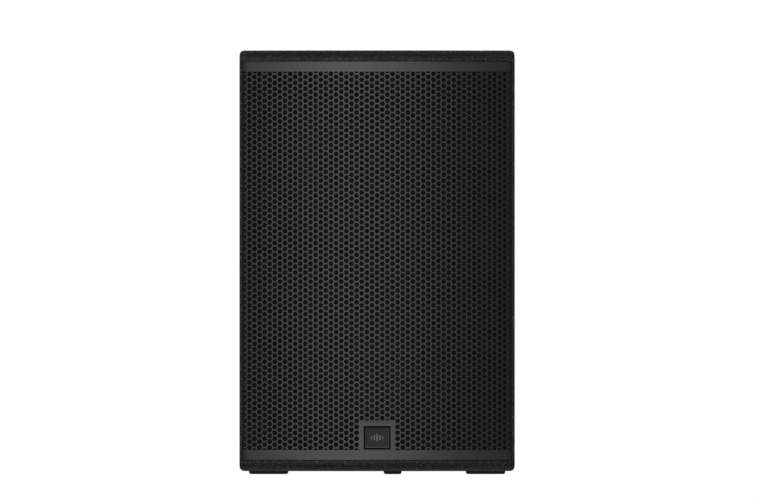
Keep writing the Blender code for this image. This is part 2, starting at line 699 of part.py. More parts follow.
def amp_panel():
    outline = round_outline(*PLATE_SIZE, 0.006, 0, AMP_Z)
    plate = finish("amp_panel", prism(outline, PLATE_Y, PLATE_FACE, "Y"), "panel_metal")
    holes = [circle_outline(0.0123, x, JACK_Z) for x in (-JACK_X, 0.0, JACK_X)]
    holes += [circle_outline(0.0036, x, KNOB_Z, 16) for x in (-KNOB_X, KNOB_X)]
    holes += [circle_outline(0.0046, x, KNOB_Z, 20) for x in BUTTON_X]
    holes += [box_outline(0.0280, 0.0205, MAINS_X, MAINS_Z), box_outline(0.0145, 0.0245, SWITCH_X, SWITCH_Z)]
    combine(plate, merged([prism(hole, PLATE_Y - 0.02, PLATE_FACE + 0.02, "Y") for hole in holes]))


def heat_sink():
    """A finned extrusion on the lower half of the panel."""
    width, low, high, fins, base, fin = 0.228, 0.150, 0.318, 19, 0.0040, 0.0022
    back = PLATE_FACE + FIT
    pitch = (width - fin) / (fins - 1)
    outline = [(-width / 2, back), (width / 2, back)]
    for i in reversed(range(fins)):
        left = -width / 2 + i * pitch
        outline += [(left + fin, back + base)] if i < fins - 1 else []
        outline += [(left + fin, back + 0.0190), (left, back + 0.0190)]
        outline += [(left, back + base)] if i else []
    finish("heat_sink", prism(outline, low, high), "panel_metal")


def amp_cover():
    """The sealed tray that closes the module off from the air in the cabinet."""
    inner_y, wall = COVER_Y, 0.0015
    width, height = 0.232, 0.372
    tray = prism(box_outline(width, height, 0, AMP_Z), inner_y, PLATE_Y - FIT, "Y")
    tray = finish("amp_cover", tray, "panel_metal")
    hollow = box_outline(width - 2 * wall, height - 2 * wall, 0, AMP_Z)
    combine(tray, prism(hollow, inner_y + wall, 0.3, "Y"))


def power_amp_board():
    board = prism(box_outline(0.210, 0.150, 0, 0.240), 0.1500, 0.1516, "Y")
    board = finish("power_amp_board", board, "circuit_board")
    blocks = [prism(box_outline(0.150, 0.022, 0, 0.285), 0.125, 0.1506, "Y")]
    blocks += [prism(circle_outline(0.015, x, 0.215, 20), 0.105, 0.1506, "Y") for x in (-0.070, -0.030)]
    blocks.append(prism(box_outline(0.050, 0.040, 0.060, 0.215), 0.115, 0.1506, "Y"))
    combine(board, merged(blocks), "UNION")


def transformer():
    """Ring-wound, on the tray's floor."""
    steps, tube, radius = 8, 0.0150, 0.0270
    angles = [2 * math.pi * i / steps for i in range(steps)]
    profile = [(radius + tube * math.cos(a), tube * 1.1 * math.sin(a)) for a in angles]
    finish("transformer", turned(profile, 20), "copper", (0.060, 0.1035, 0.470), FACING)


def input_board():
    board = prism(box_outline(0.210, 0.190, 0, 0.428), 0.1480, 0.1496, "Y")
    board = finish("input_board", board, "circuit_board")
    blocks = [prism(box_outline(0.014, 0.014, x, KNOB_Z), 0.1490, 0.1600, "Y") for x in (-KNOB_X, KNOB_X)]
    blocks += [prism(box_outline(0.010, 0.010, x, KNOB_Z), 0.1490, 0.1608, "Y") for x in BUTTON_X]
    combine(board, merged(blocks), "UNION")


def flanged_jack(name, x, hole, hole_depth):
    """A round connector with a D-shaped flange, as (x, z) about its own centre, set in the panel."""
    seat = PLATE_FACE + FIT
    flange = prism(round_outline(0.026, 0.031, 0.003, x, JACK_Z), seat, seat + 0.002, "Y")
    jack = finish(name, flange, "black_plastic")
    combine(jack, prism(circle_outline(0.0120, x, JACK_Z), 0.1510, seat + 0.001, "Y"), "UNION")
    combine(jack, prism(circle_outline(hole, x, JACK_Z, 16), seat + 0.002 - hole_depth, 0.3, "Y"))
    return jack


def combo_jacks():
    """Two inputs that take a phone plug in the middle, each with a sprung latch above it."""
    face = PLATE_FACE + FIT + 0.002
    for number, x in ((1, -JACK_X), (2, JACK_X)):
        jack = flanged_jack(f"combo_jack_{number}", x, 0.0033, 0.020)
        combine(jack, prism(box_outline(0.0076, 0.0036, x, JACK_Z + 0.0093), face - 0.010, 0.3, "Y"))
        latch = prism(box_outline(0.0070, 0.0030, x, JACK_Z + 0.0093), face - 0.0070, face + 0.0018, "Y")
        finish(f"jack_latch_{number}", latch, "steel")


def xlr_output():
    """A three-pin output connector."""
    jack = flanged_jack("xlr_output", 0.0, 0.0093, 0.014)
    floor = PLATE_FACE + FIT + 0.002 - 0.014
    pins = []
    for angle in (90, 210, 330):
        turn = math.radians(angle)
        outline = circle_outline(0.0012, 0.0045 * math.cos(turn), JACK_Z + 0.0045 * math.sin(turn), 10)
        pins.append(prism(outline, floor - 0.001, floor + 0.0110, "Y"))
    combine(jack, merged(pins), "UNION")


def mains_inlet():
    """A three-blade appliance inlet on a screw-down flange."""
    seat = PLATE_FACE + FIT
    flange = prism(round_outline(0.050, 0.0245, 0.004, MAINS_X, MAINS_Z), seat, seat + 0.002, "Y")
    inlet = finish("mains_inlet", flange, "black_plastic")
    combine(inlet, prism(box_outline(0.0275, 0.0200, MAINS_X, MAINS_Z), 0.1580, seat + 0.001, "Y"), "UNION")
    floor = seat + 0.002 - 0.0165
    combine(inlet, prism(box_outline(0.0242, 0.0165, MAINS_X, MAINS_Z), floor, 0.3, "Y"))
    blades = [(-0.007, -0.002), (0.007, -0.002), (0.0, 0.002)]
    outlines = [box_outline(0.0020, 0.0055, MAINS_X + x, MAINS_Z + z) for x, z in blades]
    combine(inlet, merged([prism(o, floor - 0.001, floor + 0.0115, "Y") for o in outlines]), "UNION")


def power_switch():
    """A rocker in its frame, resting with its lower half pressed in."""
    seat = PLATE_FACE + FIT
    frame = prism(round_outline(0.0185, 0.0290, 0.002, SWITCH_X, SWITCH_Z), seat, seat + 0.0015, "Y")
    frame = finish("power_switch_frame", frame, "black_plastic")
    combine(frame, prism(box_outline(0.0140, 0.0240, SWITCH_X, SWITCH_Z), 0.1650, seat + 0.001, "Y"), "UNION")
    combine(frame, prism(box_outline(0.0116, 0.0214, SWITCH_X, SWITCH_Z), seat - 0.0080, 0.3, "Y"))
    half, steps = 0.0095, 6
    heights = [half - 2 * half * i / steps for i in range(steps + 1)]
    face = [(0.0022 + 0.0023 * (z / half) ** 2, z) for z in heights]
    under = [(-0.0005, -half), (-0.0045, -0.0035), (-0.0045, 0.0035), (-0.0005, half)]
    rocker = prism(face + under, -0.0054, 0.0054, "X")
    finish("power_switch_rocker", rocker, "black_plastic", (SWITCH_X, seat, SWITCH_Z), (-SWITCH_TILT, 0, 0))


def gain_knob(number, x):
    """A fluted knob on its shaft, with a flat where its pointer is."""
    face = PLATE_FACE
    away = (-math.pi / 2, 0, 0)
    profile = [(0.0, 0.0165), (0.0068, 0.0165), (0.0075, 0.0157), (0.0082, 0.0030), (0.0090, 0.0008)]
    profile += [(0.0030, 0.0008), (0.0030, -0.0190), (0.0, -0.0190)]
    knob = finish(f"gain_knob_{number}", turned(profile, 24), "black_plastic", (x, face, KNOB_Z), away)
    grooves = []
    for i in range(1, 8):
        groove = prism(box_outline(0.0016, 0.0016, 0.0083, 0), 0.0035, 0.03)
        groove.transform(Matrix.Rotation(math.pi / 2 - i * math.pi / 4, 4, "Z"))
        grooves.append(groove)
    combine(knob, merged(grooves), placed=True)


def push_button(number, x):
    profile = [(0.0, 0.0028), (0.0036, 0.0028), (0.0041, 0.0022), (0.0041, -0.0160), (0.0, -0.0160)]
    finish(f"button_{number}", turned(profile, 20), "black_plastic", (x, PLATE_FACE, KNOB_Z), (-math.pi / 2, 0, 0))


# ---- Internal wiring --------------------------------------------------------------------------------


def lead(name, points):
    """A round lead on a smooth curve through a few points."""
    stops = [Vector(p) for p in points]
    padded = [stops[0] * 2 - stops[1], *stops, stops[-1] * 2 - stops[-2]]
    line, steps = [], 4
    for before, start, end, after in zip(padded, padded[1:], padded[2:], padded[3:]):
        for i in range(steps):
            t = i / steps
            bend = (end - before) * t + (before * 2 - start * 5 + end * 4 - after) * t * t
            line.append(start + (bend + (start * 3 - before - end * 3 + after) * t**3) / 2)
    line.append(stops[-1])
    curve = bpy.data.curves.new(name, "CURVE")
    curve.dimensions = "3D"
    curve.bevel_depth = 0.0025
    curve.bevel_resolution = 1
    curve.use_fill_caps = True
    spline = curve.splines.new("POLY")
    spline.points.add(len(line) - 1)
    for point, place in zip(spline.points, line):
        point.co = (*place, 1)
    curve.materials.append(material("cable"))
    bpy.context.scene.collection.objects.link(bpy.data.objects.new(name, curve))


def leads():
    """From the amplifier's cover to the two drivers' terminals."""
    cover = COVER_Y - 0.0012
    woofer_path = [
        (-0.080, cover, 0.330),
        (-0.080, 0.055, 0.325),
        (-0.115, -0.010, 0.300),
        (-0.118, -0.060, 0.285),
        (-0.108, -0.0795, 0.272),
    ]
    lead("woofer_cable", woofer_path)
    driver_back = BAFFLE_Y + 0.0953 + 0.052 + 0.0010
    hf_path = [
        (0.030, cover, 0.500),
        (0.030, 0.060, 0.510),
        (0.020, 0.035, 0.535),
        (0.015, 0.010, 0.545),
        (0.015, driver_back, 0.548),
    ]
    lead("hf_cable", hf_path)


def main():
    clear_scene()
    top_panel()
    bottom_panel()
    side_panel(1)
    side_panel(-1)
    rear_panel()
    front_baffle()
    shelf_brace()
    damping()
    grille()
    grille_foam()
    badge()
    woofer_basket()
    woofer_gasket()
    woofer_motor()
    woofer_cone()
    woofer_surround()
    woofer_dust_cap()
    woofer_voice_coil()
    woofer_spider()
    horn()
    compression_driver()
    port_tube(1, "port_tube_right")
    port_tube(-1, "port_tube_left")
    handle(1, "handle_right")
    handle(-1, "handle_left")
    pole_socket()
    feet()
    fly_point(1, "fly_point_right")
    fly_point(-1, "fly_point_left")
    amp_panel()
    heat_sink()
    amp_cover()
    power_amp_board()
    transformer()
    input_board()
    combo_jacks()
    xlr_output()
    mains_inlet()
    power_switch()
    for number, x in ((1, -KNOB_X), (2, KNOB_X)):
        gain_knob(number, x)
    for number, x in enumerate(BUTTON_X, 1):
        push_button(number, x)
    leads()


main()
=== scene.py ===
"""The looks of a powered PA speaker cabinet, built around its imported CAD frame.

Lengths are metres in the frame of the CAD: +Z up, the grille faces -Y, the amplifier faces +Y.
"""

import json
import math
import random

import bmesh
import bpy
from mathutils import Matrix, Vector
from mathutils.geometry import tessellate_polygon


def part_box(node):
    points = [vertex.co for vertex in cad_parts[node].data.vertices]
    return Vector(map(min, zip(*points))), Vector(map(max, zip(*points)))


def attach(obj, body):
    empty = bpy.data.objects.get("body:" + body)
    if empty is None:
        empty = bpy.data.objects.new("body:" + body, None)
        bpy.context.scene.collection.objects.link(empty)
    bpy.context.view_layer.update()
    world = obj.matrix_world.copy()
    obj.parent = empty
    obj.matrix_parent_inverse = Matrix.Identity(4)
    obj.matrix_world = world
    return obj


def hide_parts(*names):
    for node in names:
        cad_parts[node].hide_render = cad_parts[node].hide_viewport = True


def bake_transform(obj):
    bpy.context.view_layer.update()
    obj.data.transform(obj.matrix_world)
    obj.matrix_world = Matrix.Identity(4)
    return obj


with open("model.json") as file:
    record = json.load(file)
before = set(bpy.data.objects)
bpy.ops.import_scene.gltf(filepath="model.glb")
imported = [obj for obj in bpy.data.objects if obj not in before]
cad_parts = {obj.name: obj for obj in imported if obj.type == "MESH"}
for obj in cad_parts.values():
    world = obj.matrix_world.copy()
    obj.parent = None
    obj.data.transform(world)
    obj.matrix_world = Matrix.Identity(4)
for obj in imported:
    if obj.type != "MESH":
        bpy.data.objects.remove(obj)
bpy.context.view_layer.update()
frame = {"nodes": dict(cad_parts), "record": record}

# ---- Sizes: the CAD's, and the finer ones that only the visual pieces have ----------------------

WIDTH = 0.4326
REAR_WIDTH = 0.360
DEPTH = 0.400
PLY = 0.018
FIT = 0.0003
FRONT_Y, REAR_Y = -DEPTH / 2, DEPTH / 2
BODY_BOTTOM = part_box("bottom_panel")[0].z
BODY_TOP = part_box("top_panel")[1].z
MIDDLE_Z = (BODY_BOTTOM + BODY_TOP) / 2

BOW_RADIUS = 1.110  # of the grille, seen from above
LIP = 0.004
SHEET = 0.0015
GRILLE_HALF = 0.2112
BEND = 0.0018
FLANGE = 0.009
EDGE_ROUND = 0.007
LIP_ROUND = 0.0155  # over the front edge of the top and the bottom
FRONT_CORNER, REAR_CORNER = 0.0035, 0.008
WALL_START_Y = FRONT_Y + 0.0212
TAPER = math.atan2((WIDTH - REAR_WIDTH) / 2, REAR_Y - WALL_START_Y)
SIDE_FRONT_Y = WALL_START_Y + 0.0043
SIDE_LIP = 0.0041
REBATE = 0.0014  # how far the grille's upper and lower edges are let into the panels
GRILLE_GAP = 0.0011
BAFFLE_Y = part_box("front_baffle")[0].y

HEX_PITCH = 0.0093  # between the holes of one column
HEX_HOLE = 0.00760  # across a hole's flats
HEX_COLUMNS = 26  # on each side of the middle one
HEX_ROWS = 64
HEX_EDGE = 0.00006  # eased edge of each hole
PAD_COLUMNS = 3  # columns left plain around the badge, on each side of the middle one
PAD_ROW = -27  # the plain pad starts this many pitches under the middle
BADGE_HOLE = (0.0424, 0.0369)
BADGE_SIZE = (0.0379, 0.0314)
BADGE_Z = BODY_BOTTOM + 0.0528

WOOFER_Z = 0.253
HORN_Z = 0.550
HANDLE_Y, HANDLE_Z = 0.020, 0.365
SOCKET_Y = -0.020
FLY_X = 0.120
FLY_HOLE = 0.0125
SOCKET_HOLE, SOCKET_RECESS = 0.0245, 0.0453  # radii, the recess for its flange

FACING = Matrix.Rotation(math.pi / 2, 4, "X")  # from +Z up to the front
FORWARDS, BACKWARDS, DOWN = (0, -1, 0), (0, 1, 0), (0, 0, -1)
MATERIALS = {}  # by name, filled in by make_materials

# ---- Small tools --------------------------------------------------------------------------------


def finish_mesh(name, bm, material, body="cabinet", replaces=(), sharp=35, outward=True):
    """Turns a bmesh into a piece of the visual model. Its slot holds the named material."""
    if outward:
        bmesh.ops.recalc_face_normals(bm, faces=bm.faces)
    mesh = bpy.data.meshes.new(name)
    bm.to_mesh(mesh)
    bm.free()
    mesh.shade_smooth()
    mesh.set_sharp_from_angle(angle=math.radians(sharp))
    obj = bpy.data.objects.new(name, mesh)
    obj.data.materials.append(MATERIALS[material])
    bpy.context.scene.collection.objects.link(obj)
    if body:
        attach(obj, body)
    if replaces:
        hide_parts(*([replaces] if isinstance(replaces, str) else replaces))
    return obj


def bridge(bm, lower, upper):
    """Quads between two closed rings of as many vertices."""
    count = len(lower)
    for i in range(count):
        j = (i + 1) % count
        bm.faces.new((lower[i], lower[j], upper[j], upper[i]))


def lofted(rings, capped=True):
    """A bmesh through rings of points. Without caps, the last ring joins the first."""
    bm = bmesh.new()
    rows = [[bm.verts.new(point) for point in ring] for ring in rings]
    for lower, upper in zip(rows, rows[1:]):
        bridge(bm, lower, upper)
    if capped:
        bm.faces.new(reversed(rows[0]))
        bm.faces.new(rows[-1])
    else:
        bridge(bm, rows[-1], rows[0])
    return bm


ALONG = {
    "X": lambda p, h: (h, p[0], p[1]),
    "Y": lambda p, h: (p[0], h, p[1]),
    "Z": lambda p, h: (p[0], p[1], h),
}


def stacked(layers, axis="Z", capped=True):
    """A bmesh through (outline, height) layers along an axis: outlines are (x, z) along Y, (y, z) along X."""
    return lofted([[ALONG[axis](p, height) for p in outline] for outline, height in layers], capped)


def prism(outline, low, high, axis="Z"):
    """A flat outline drawn out along an axis."""
    return stacked([(outline, low), (outline, high)], axis)


def turned(profile, segments, wobble=None):
    """A closed profile of (radius, z) points turned about Z. wobble(angle, radius, z) may change a radius."""
    bm = bmesh.new()
    rings = []
    for radius, z in profile:
        if radius < 1e-9:
            rings.append([bm.verts.new((0, 0, z))])
            continue
        ring = []
        for i in range(segments):
            angle = 2 * math.pi * i / segments
            r = wobble(angle, radius, z) if wobble else radius
            ring.append(bm.verts.new((r * math.cos(angle), r * math.sin(angle), z)))
        rings.append(ring)
    for first, second in zip(rings, rings[1:] + rings[:1]):
        if len(first) == 1 and len(second) == 1:
            continue
        if len(first) > 1 and len(second) > 1:
            bridge(bm, first, second)
            continue
        tip, ring = (first, second) if len(first) == 1 else (second, first)
        for i in range(segments):
            bm.faces.new((tip[0], ring[i], ring[(i + 1) % segments]))
    return bm


def arc(centre, radius, start, end, steps):
    angles = [start + (end - start) * i / steps for i in range(steps + 1)]
    return [(centre[0] + radius * math.cos(a), centre[1] + radius * math.sin(a)) for a in angles]


def box_outline(width, height, x=0.0, y=0.0):
    half, tall = width / 2, height / 2
    return [(x - half, y - tall), (x + half, y - tall), (x + half, y + tall), (x - half, y + tall)]


def round_outline(width, height, radius, x=0.0, y=0.0, steps=6):
    """A rectangle with round corners, counter-clockwise."""
    points = []
    for side_x, side_y, start in ((1, -1, -90), (1, 1, 0), (-1, 1, 90), (-1, -1, 180)):
        centre = (x + side_x * (width / 2 - radius), y + side_y * (height / 2 - radius))
        points += arc(centre, radius, math.radians(start), math.radians(start + 90), steps)
    return points


def circle_outline(radius, x=0.0, y=0.0, steps=48):
    return arc((x, y), radius, 0, 2 * math.pi, steps)[:-1]


def eased(outline, radius, steps=3):
    """A closed outline with its corners rounded, apart from those on the axis."""
    points = []
    for before, corner, after in zip(outline[-1:] + outline[:-1], outline, outline[1:] + outline[:1]):
        if corner[0] == 0.0:
            points.append(corner)
            continue
        corner = Vector(corner)
        ends = []
        for other in (before, after):
            way = Vector(other) - corner
            ends.append(corner + way.normalized() * min(radius, way.length * 0.4))
        for i in range(steps + 1):
            t = i / steps
            points.append(tuple(ends[0] * (1 - t) ** 2 + corner * (2 * t * (1 - t)) + ends[1] * t * t))
    return points


def plate(width, height, radius, levels, axis="Z", x=0.0, y=0.0, steps=6):
    """A round-cornered rectangle about (x, y), drawn in by each (inset, height) level's inset."""
    layers = []
    for inset, level in levels:
        outline = round_outline(width - 2 * inset, height - 2 * inset, radius - inset, x, y, steps)
        layers.append((outline, level))
    return stacked(layers, axis)


def slab(width, height, radius, x, z, low, high, ease):
    """A plate about (x, z) that faces backwards, its rear edge eased."""
    levels = [(0.0, low), (0.0, high - ease), (ease * 0.3, high - ease * 0.3), (ease, high)]
    return plate(width, height, radius, levels, "Y", x, z)


def moved(bm, x, y, z, turn=Matrix.Identity(4)):
    """The bmesh, turned about its origin and put at a place."""
    bm.transform(Matrix.Translation((x, y, z)) @ turn)
    return bm


def merged(parts):
    """Several bmeshes in one."""
    whole = bmesh.new()
    for part in parts:
        mesh = bpy.data.meshes.new("merging")
        part.to_mesh(mesh)
        part.free()
        whole.from_mesh(mesh)
        bpy.data.meshes.remove(mesh)
    return whole


def temporary(bm):
    bmesh.ops.recalc_face_normals(bm, faces=bm.faces)
    mesh = bpy.data.meshes.new("temporary")
    bm.to_mesh(mesh)
    bm.free()
    obj = bpy.data.objects.new("temporary", mesh)
    bpy.context.scene.collection.objects.link(obj)
    return obj


def combined(bm, *steps):
    """The bmesh after each (bmesh, operation) has been cut from it or joined on."""
    base = temporary(bm)
    tools = []
    for tool, operation in steps:
        tools.append(temporary(tool))
        modifier = base.modifiers.new(operation, "BOOLEAN")
        modifier.operation = operation
        modifier.solver = "EXACT"
        modifier.object = tools[-1]
    evaluated = base.evaluated_get(bpy.context.evaluated_depsgraph_get())
    mesh = bpy.data.meshes.new_from_object(evaluated)
    result = bmesh.new()
    result.from_mesh(mesh)
    bpy.data.meshes.remove(mesh)
    for obj in [base, *tools]:
        data = obj.data
        bpy.data.objects.remove(obj)
        bpy.data.meshes.remove(data)
    return result


def cut(bm, *tools):
    """The bmesh with the tools' shapes cut away."""
    return combined(bm, *[(tool, "DIFFERENCE") for tool in tools])


# ---- Materials ----------------------------------------------------------------------------------


class Finish:
    """A procedural material: two colours mixed by a texture, a roughness range and layers of bump."""

    def __init__(self, name, metallic=0.0, **sockets):
        MATERIALS[name] = bpy.data.materials.new(name)
        MATERIALS[name].use_nodes = True
        self.tree = MATERIALS[name].node_tree
        self.shader = self.tree.nodes["Principled BSDF"]
        self.fill(self.shader, Metallic=metallic, **sockets)
        self.coords = self.node("TexCoord").outputs["Object"]
        self.bump = None

    def fill(self, node, **inputs):
        """Sets a node's inputs, each to a number or to another node's output."""
        for name, value in inputs.items():
            socket = node.inputs[name.replace("_", " ")]
            if isinstance(value, bpy.types.NodeSocket):
                self.tree.links.new(value, socket)
            else:
                socket.default_value = value

    def node(self, kind, settings=(), **inputs):
        node = self.tree.nodes.new("ShaderNode" + kind)
        for name, value in dict(settings).items():
            setattr(node, name, value)
        self.fill(node, **inputs)
        return node

    def stretched(self, scale):
        return self.node("Mapping", Scale=scale, Vector=self.coords).outputs["Vector"]

    def noise(self, scale, detail=3.0, rough=0.55, coords=None):
        inputs = {"Scale": scale, "Detail": detail, "Roughness": rough, "Vector": coords or self.coords}
        return self.node("TexNoise", **inputs).outputs["Fac"]

    def cells(self, scale, smooth):
        settings = {"feature": "SMOOTH_F1"}
        node = self.node("TexVoronoi", settings, Scale=scale, Smoothness=smooth, Vector=self.coords)
        return node.outputs["Distance"]

    def waves(self, scale, distortion=0.0, bands="X"):
        settings = {"bands_direction": bands}
        node = self.node("TexWave", settings, Scale=scale, Distortion=distortion, Vector=self.coords)
        return node.outputs["Fac"]

    def colour(self, value, *stops):
        """Base colour through a ramp of (position, grey or (r, g, b)) stops."""
        ramp = self.node("ValToRGB")
        elements = ramp.color_ramp.elements
        while len(elements) < len(stops):
            elements.new(0.5)
        for element, (position, colour) in zip(elements, stops):
            element.position = position
            rgb = colour if isinstance(colour, tuple) else (colour,) * 3
            element.color = (*rgb, 1.0)
        self.fill(ramp, Fac=value)
        self.fill(self.shader, Base_Color=ramp.outputs["Color"])
        return self

    def rough(self, value, to_low, to_high, low=0.3, high=0.7):
        """Roughness to_low..to_high where the value is low..high."""
        ranges = {"From_Min": low, "From_Max": high, "To_Min": to_low, "To_Max": to_high}
        spread = self.node("MapRange", **ranges, Value=value)
        self.fill(self.shader, Roughness=spread.outputs["Result"])
        return self

    def relief(self, value, height):
        """Adds a bump whose full height is given in metres."""
        under = {"Normal": self.bump} if self.bump else {}
        node = self.node("Bump", Strength=1.0, Distance=height, Height=value, **under)
        self.bump = node.outputs["Normal"]
        self.fill(self.shader, Normal=self.bump)
        return self


def grained(name, fine, tone, shades, gloss, bump=0.0, metallic=0.0, stretch=None, edge=0.3, **sockets):
    """A finish with a fine grain in its gloss and relief, and a broader tone in its colour if tone is given.

    fine and tone are a noise's scale and detail, and its roughness where that isn't the usual one."""
    made = Finish(name, metallic, **sockets)
    grain = made.noise(*fine, coords=made.stretched(stretch) if stretch else None)
    patches = made.noise(*tone) if tone else grain
    made.colour(patches, (edge, shades[0]), (1 - edge, shades[1])).rough(grain, *gloss)
    if bump:
        made.relief(grain, bump)


def coating():
    """Hard textured paint: pebbles about 2.4 mm across with fine grit over them, and pale flecks in its
    colour that are painted glints off the pebbles.
    """
    coat = Finish("coating")
    pebbles, grit = coat.cells(420, 0.6), coat.noise(1300, 4, 0.65)
    relief_and_painted_glints = coat.noise(400, 1, 0.5)
    # the pale flecks that this colour ramp gives are painted glints; the same noise also sets the gloss and
    # the relief
    coat.colour(relief_and_painted_glints, (0.51, 0.003), (0.67, 0.050)).rough(relief_and_painted_glints, 0.60, 0.38, 0.42, 0.62)
    coat.relief(relief_and_painted_glints, 0.00120).relief(pebbles, 0.00030).relief(grit, 0.00012)


def grille_paint():
    """Powder coat with an even orange-peel skin. The metal around the holes gets a paler colour, a painted
    highlight, and a little more specular.
    """
    peel, tone, gloss = (1400, 3, 0.5), (14, 2), (0.34, 0.40)
    for name, shades, level in (("grille_steel", (0.022, 0.026), 0.50), ("grille_web_painted_highlight", (0.027, 0.032), 0.58)):
        grained(name, peel, tone, shades, gloss, 0.00003, edge=0.25, Specular_IOR_Level=level)


def open_foam():
    sponge = Finish("foam", Specular_IOR_Level=0.1)
    pores = sponge.cells(1250, 0.25)
    sponge.colour(pores, (0.15, 0.003), (0.65, 0.020)).rough(pores, 0.92, 1.0)
    sponge.relief(pores, 0.0006)


def moulded_plastic():
    moulded = Finish("black_plastic")
    spark, tone = moulded.noise(1900, 3, 0.6), moulded.noise(22, 3)
    moulded.colour(tone, (0.30, 0.012), (0.70, 0.017)).rough(tone, 0.42, 0.52)
    moulded.relief(spark, 0.00006)


def zinc_steel():
    zinc = Finish("steel", 1.0)
    streaks, spangle = zinc.noise(600, 3, 0.6), zinc.cells(300, 0.2)
    zinc.colour(spangle, (0.1, 0.20), (0.8, 0.30)).rough(streaks, 0.38, 0.54)
    zinc.relief(streaks, 0.00001)


def woven_cloth():
    cloth = Finish("cloth")
    weave = cloth.waves(420, 1.5)
    fuzz = cloth.noise(1200, 3)
    cloth.colour(fuzz, (0.3, 0.012), (0.7, 0.022)).rough(fuzz, 0.78, 0.92)
    cloth.relief(weave, 0.00012).relief(fuzz, 0.00006)


def plywood():
    ply = Finish("plywood")
    grain = ply.noise(60, 5, 0.65, ply.stretched((0.35, 6.0, 6.0)))
    flecks = ply.noise(420, 2, 0.5, ply.stretched((0.2, 3.0, 3.0)))
    ply.colour(grain, (0.25, (0.36, 0.22, 0.11)), (0.75, (0.56, 0.39, 0.22))).rough(flecks, 0.62, 0.78)
    ply.relief(grain, 0.00015)


def coil_wire():
    wire = Finish("coil", 0.6)
    turns = wire.waves(520, bands="Y")
    tone = wire.noise(90, 2)
    wire.colour(tone, (0.3, (0.42, 0.20, 0.06)), (0.7, (0.62, 0.34, 0.12))).rough(tone, 0.28, 0.42)
    wire.relief(turns, 0.0002)


def circuit_board():
    board = Finish("circuit_board")
    tracks, tone = board.cells(240, 0.0), board.noise(25, 2)
    board.colour(tone, (0.3, (0.010, 0.090, 0.035)), (0.7, (0.018, 0.140, 0.055))).rough(tone, 0.32, 0.45)
    board.relief(tracks, 0.00008)


def fibre_batting():
    wool = Finish("batting")
    fibres, tufts = wool.noise(900, 6, 0.75), wool.noise(45, 4)
    wool.colour(tufts, (0.3, 0.30), (0.7, 0.46)).rough(fibres, 0.90, 1.0)
    wool.relief(tufts, 0.003).relief(fibres, 0.0008)


def make_materials():
    coating()
    grille_paint()
    open_foam()
    moulded_plastic()
    grained("badge", (2600, 2), (60, 2), (0.009, 0.012), (0.54, 0.62), 0.00002)
    grained("badge_rim", (2600, 2), None, (0.014, 0.018), (0.34, 0.40))
    grained("emblem", (900, 2, 0.5), None, (0.13, 0.17), (0.42, 0.52), metallic=0.6, stretch=(0.1, 1.0, 3.0))
    grained("rubber", (1100, 4, 0.6), (35, 3), (0.012, 0.018), (0.62, 0.80), 0.00008)
    grained("panel_metal", (1500, 3, 0.6), (12, 3), (0.016, 0.021), (0.40, 0.50), 0.00004, 0.25)
    zinc_steel()
    grained("black_screw", (900, 3), (200, 2), (0.020, 0.034), (0.30, 0.46), 0.00001, 0.6)
    grained("basket_metal", (1300, 4, 0.65), (18, 3), (0.025, 0.040), (0.45, 0.60), 0.00012, 0.3)
    turning = (1.0, 0.05, 1.0)
    grained("magnet_steel", (500, 3, 0.6), (30, 3), (0.10, 0.16), (0.30, 0.45), 0.00002, 0.75, turning)
    grained("ferrite", (1700, 4, 0.7), None, (0.030, 0.050), (0.60, 0.80), 0.00006)
    grained("cone_paper", (850, 5, 0.7), (60, 3), (0.016, 0.030), (0.75, 0.95), 0.00016)
    woven_cloth()
    plywood()
    coil_wire()
    dull, bright = (0.30, 0.12, 0.04), (0.55, 0.26, 0.10)
    grained("copper", (700, 2, 0.5), None, (dull, bright), (0.30, 0.45), 0.0003, 0.5, (1.0, 0.15, 1.0))
    grained("titanium", (500, 3), None, (0.42, 0.52), (0.22, 0.34), 0.00001, 1.0)
    circuit_board()
    fibre_batting()
    grained("cable", (700, 3), None, (0.010, 0.016), (0.42, 0.55), 0.00005)
    grained("white_ink", (2400, 3), None, (0.50, 0.62), (0.5, 0.65), 0.00001)
    tints = {"green": (0.05, 0.30, 0.08), "amber": (0.45, 0.20, 0.02), "red": (0.42, 0.03, 0.02)}
    for name, tint in tints.items():
        pale = tuple(c * 1.3 for c in tint)
        grained("lens_" + name, (400, 2), None, (tint, pale), (0.10, 0.18))


def dress_frame():
    """Gives every CAD node the material of its slot."""
    slots = {row["node"]: row["material_slot"] for row in frame["record"]["subparts"]}
    for name, node in frame["nodes"].items():
        for material_slot in node.material_slots:
            material_slot.link = "DATA"
        node.data.materials.clear()
        node.data.materials.append(MATERIALS["ferrite" if name == "woofer_magnet" else slots[name]])


# ---- The cabinet's plan -------------------------------------------------------------------------


def wall_x(y):
    return WIDTH / 2 - (y - WALL_START_Y) * math.tan(TAPER)


def inner_x(y):
    return wall_x(y) - PLY / math.cos(TAPER)


def side_fillet(inset, radius, front_radius, hub_y):
    """Centre of the corner between the bowed front and the right wall."""
    along = Vector((-math.sin(TAPER), math.cos(TAPER)))
    inward = Vector((-math.cos(TAPER), -math.sin(TAPER)))
    start = Vector((WIDTH / 2, WALL_START_Y)) + inward * (inset + radius)
    from_hub = start - Vector((0, hub_y))
    reach = front_radius - radius
    half_b = from_hub.dot(along)
    return start + along * (-half_b - math.sqrt(half_b * half_b - from_hub.length_squared + reach * reach))


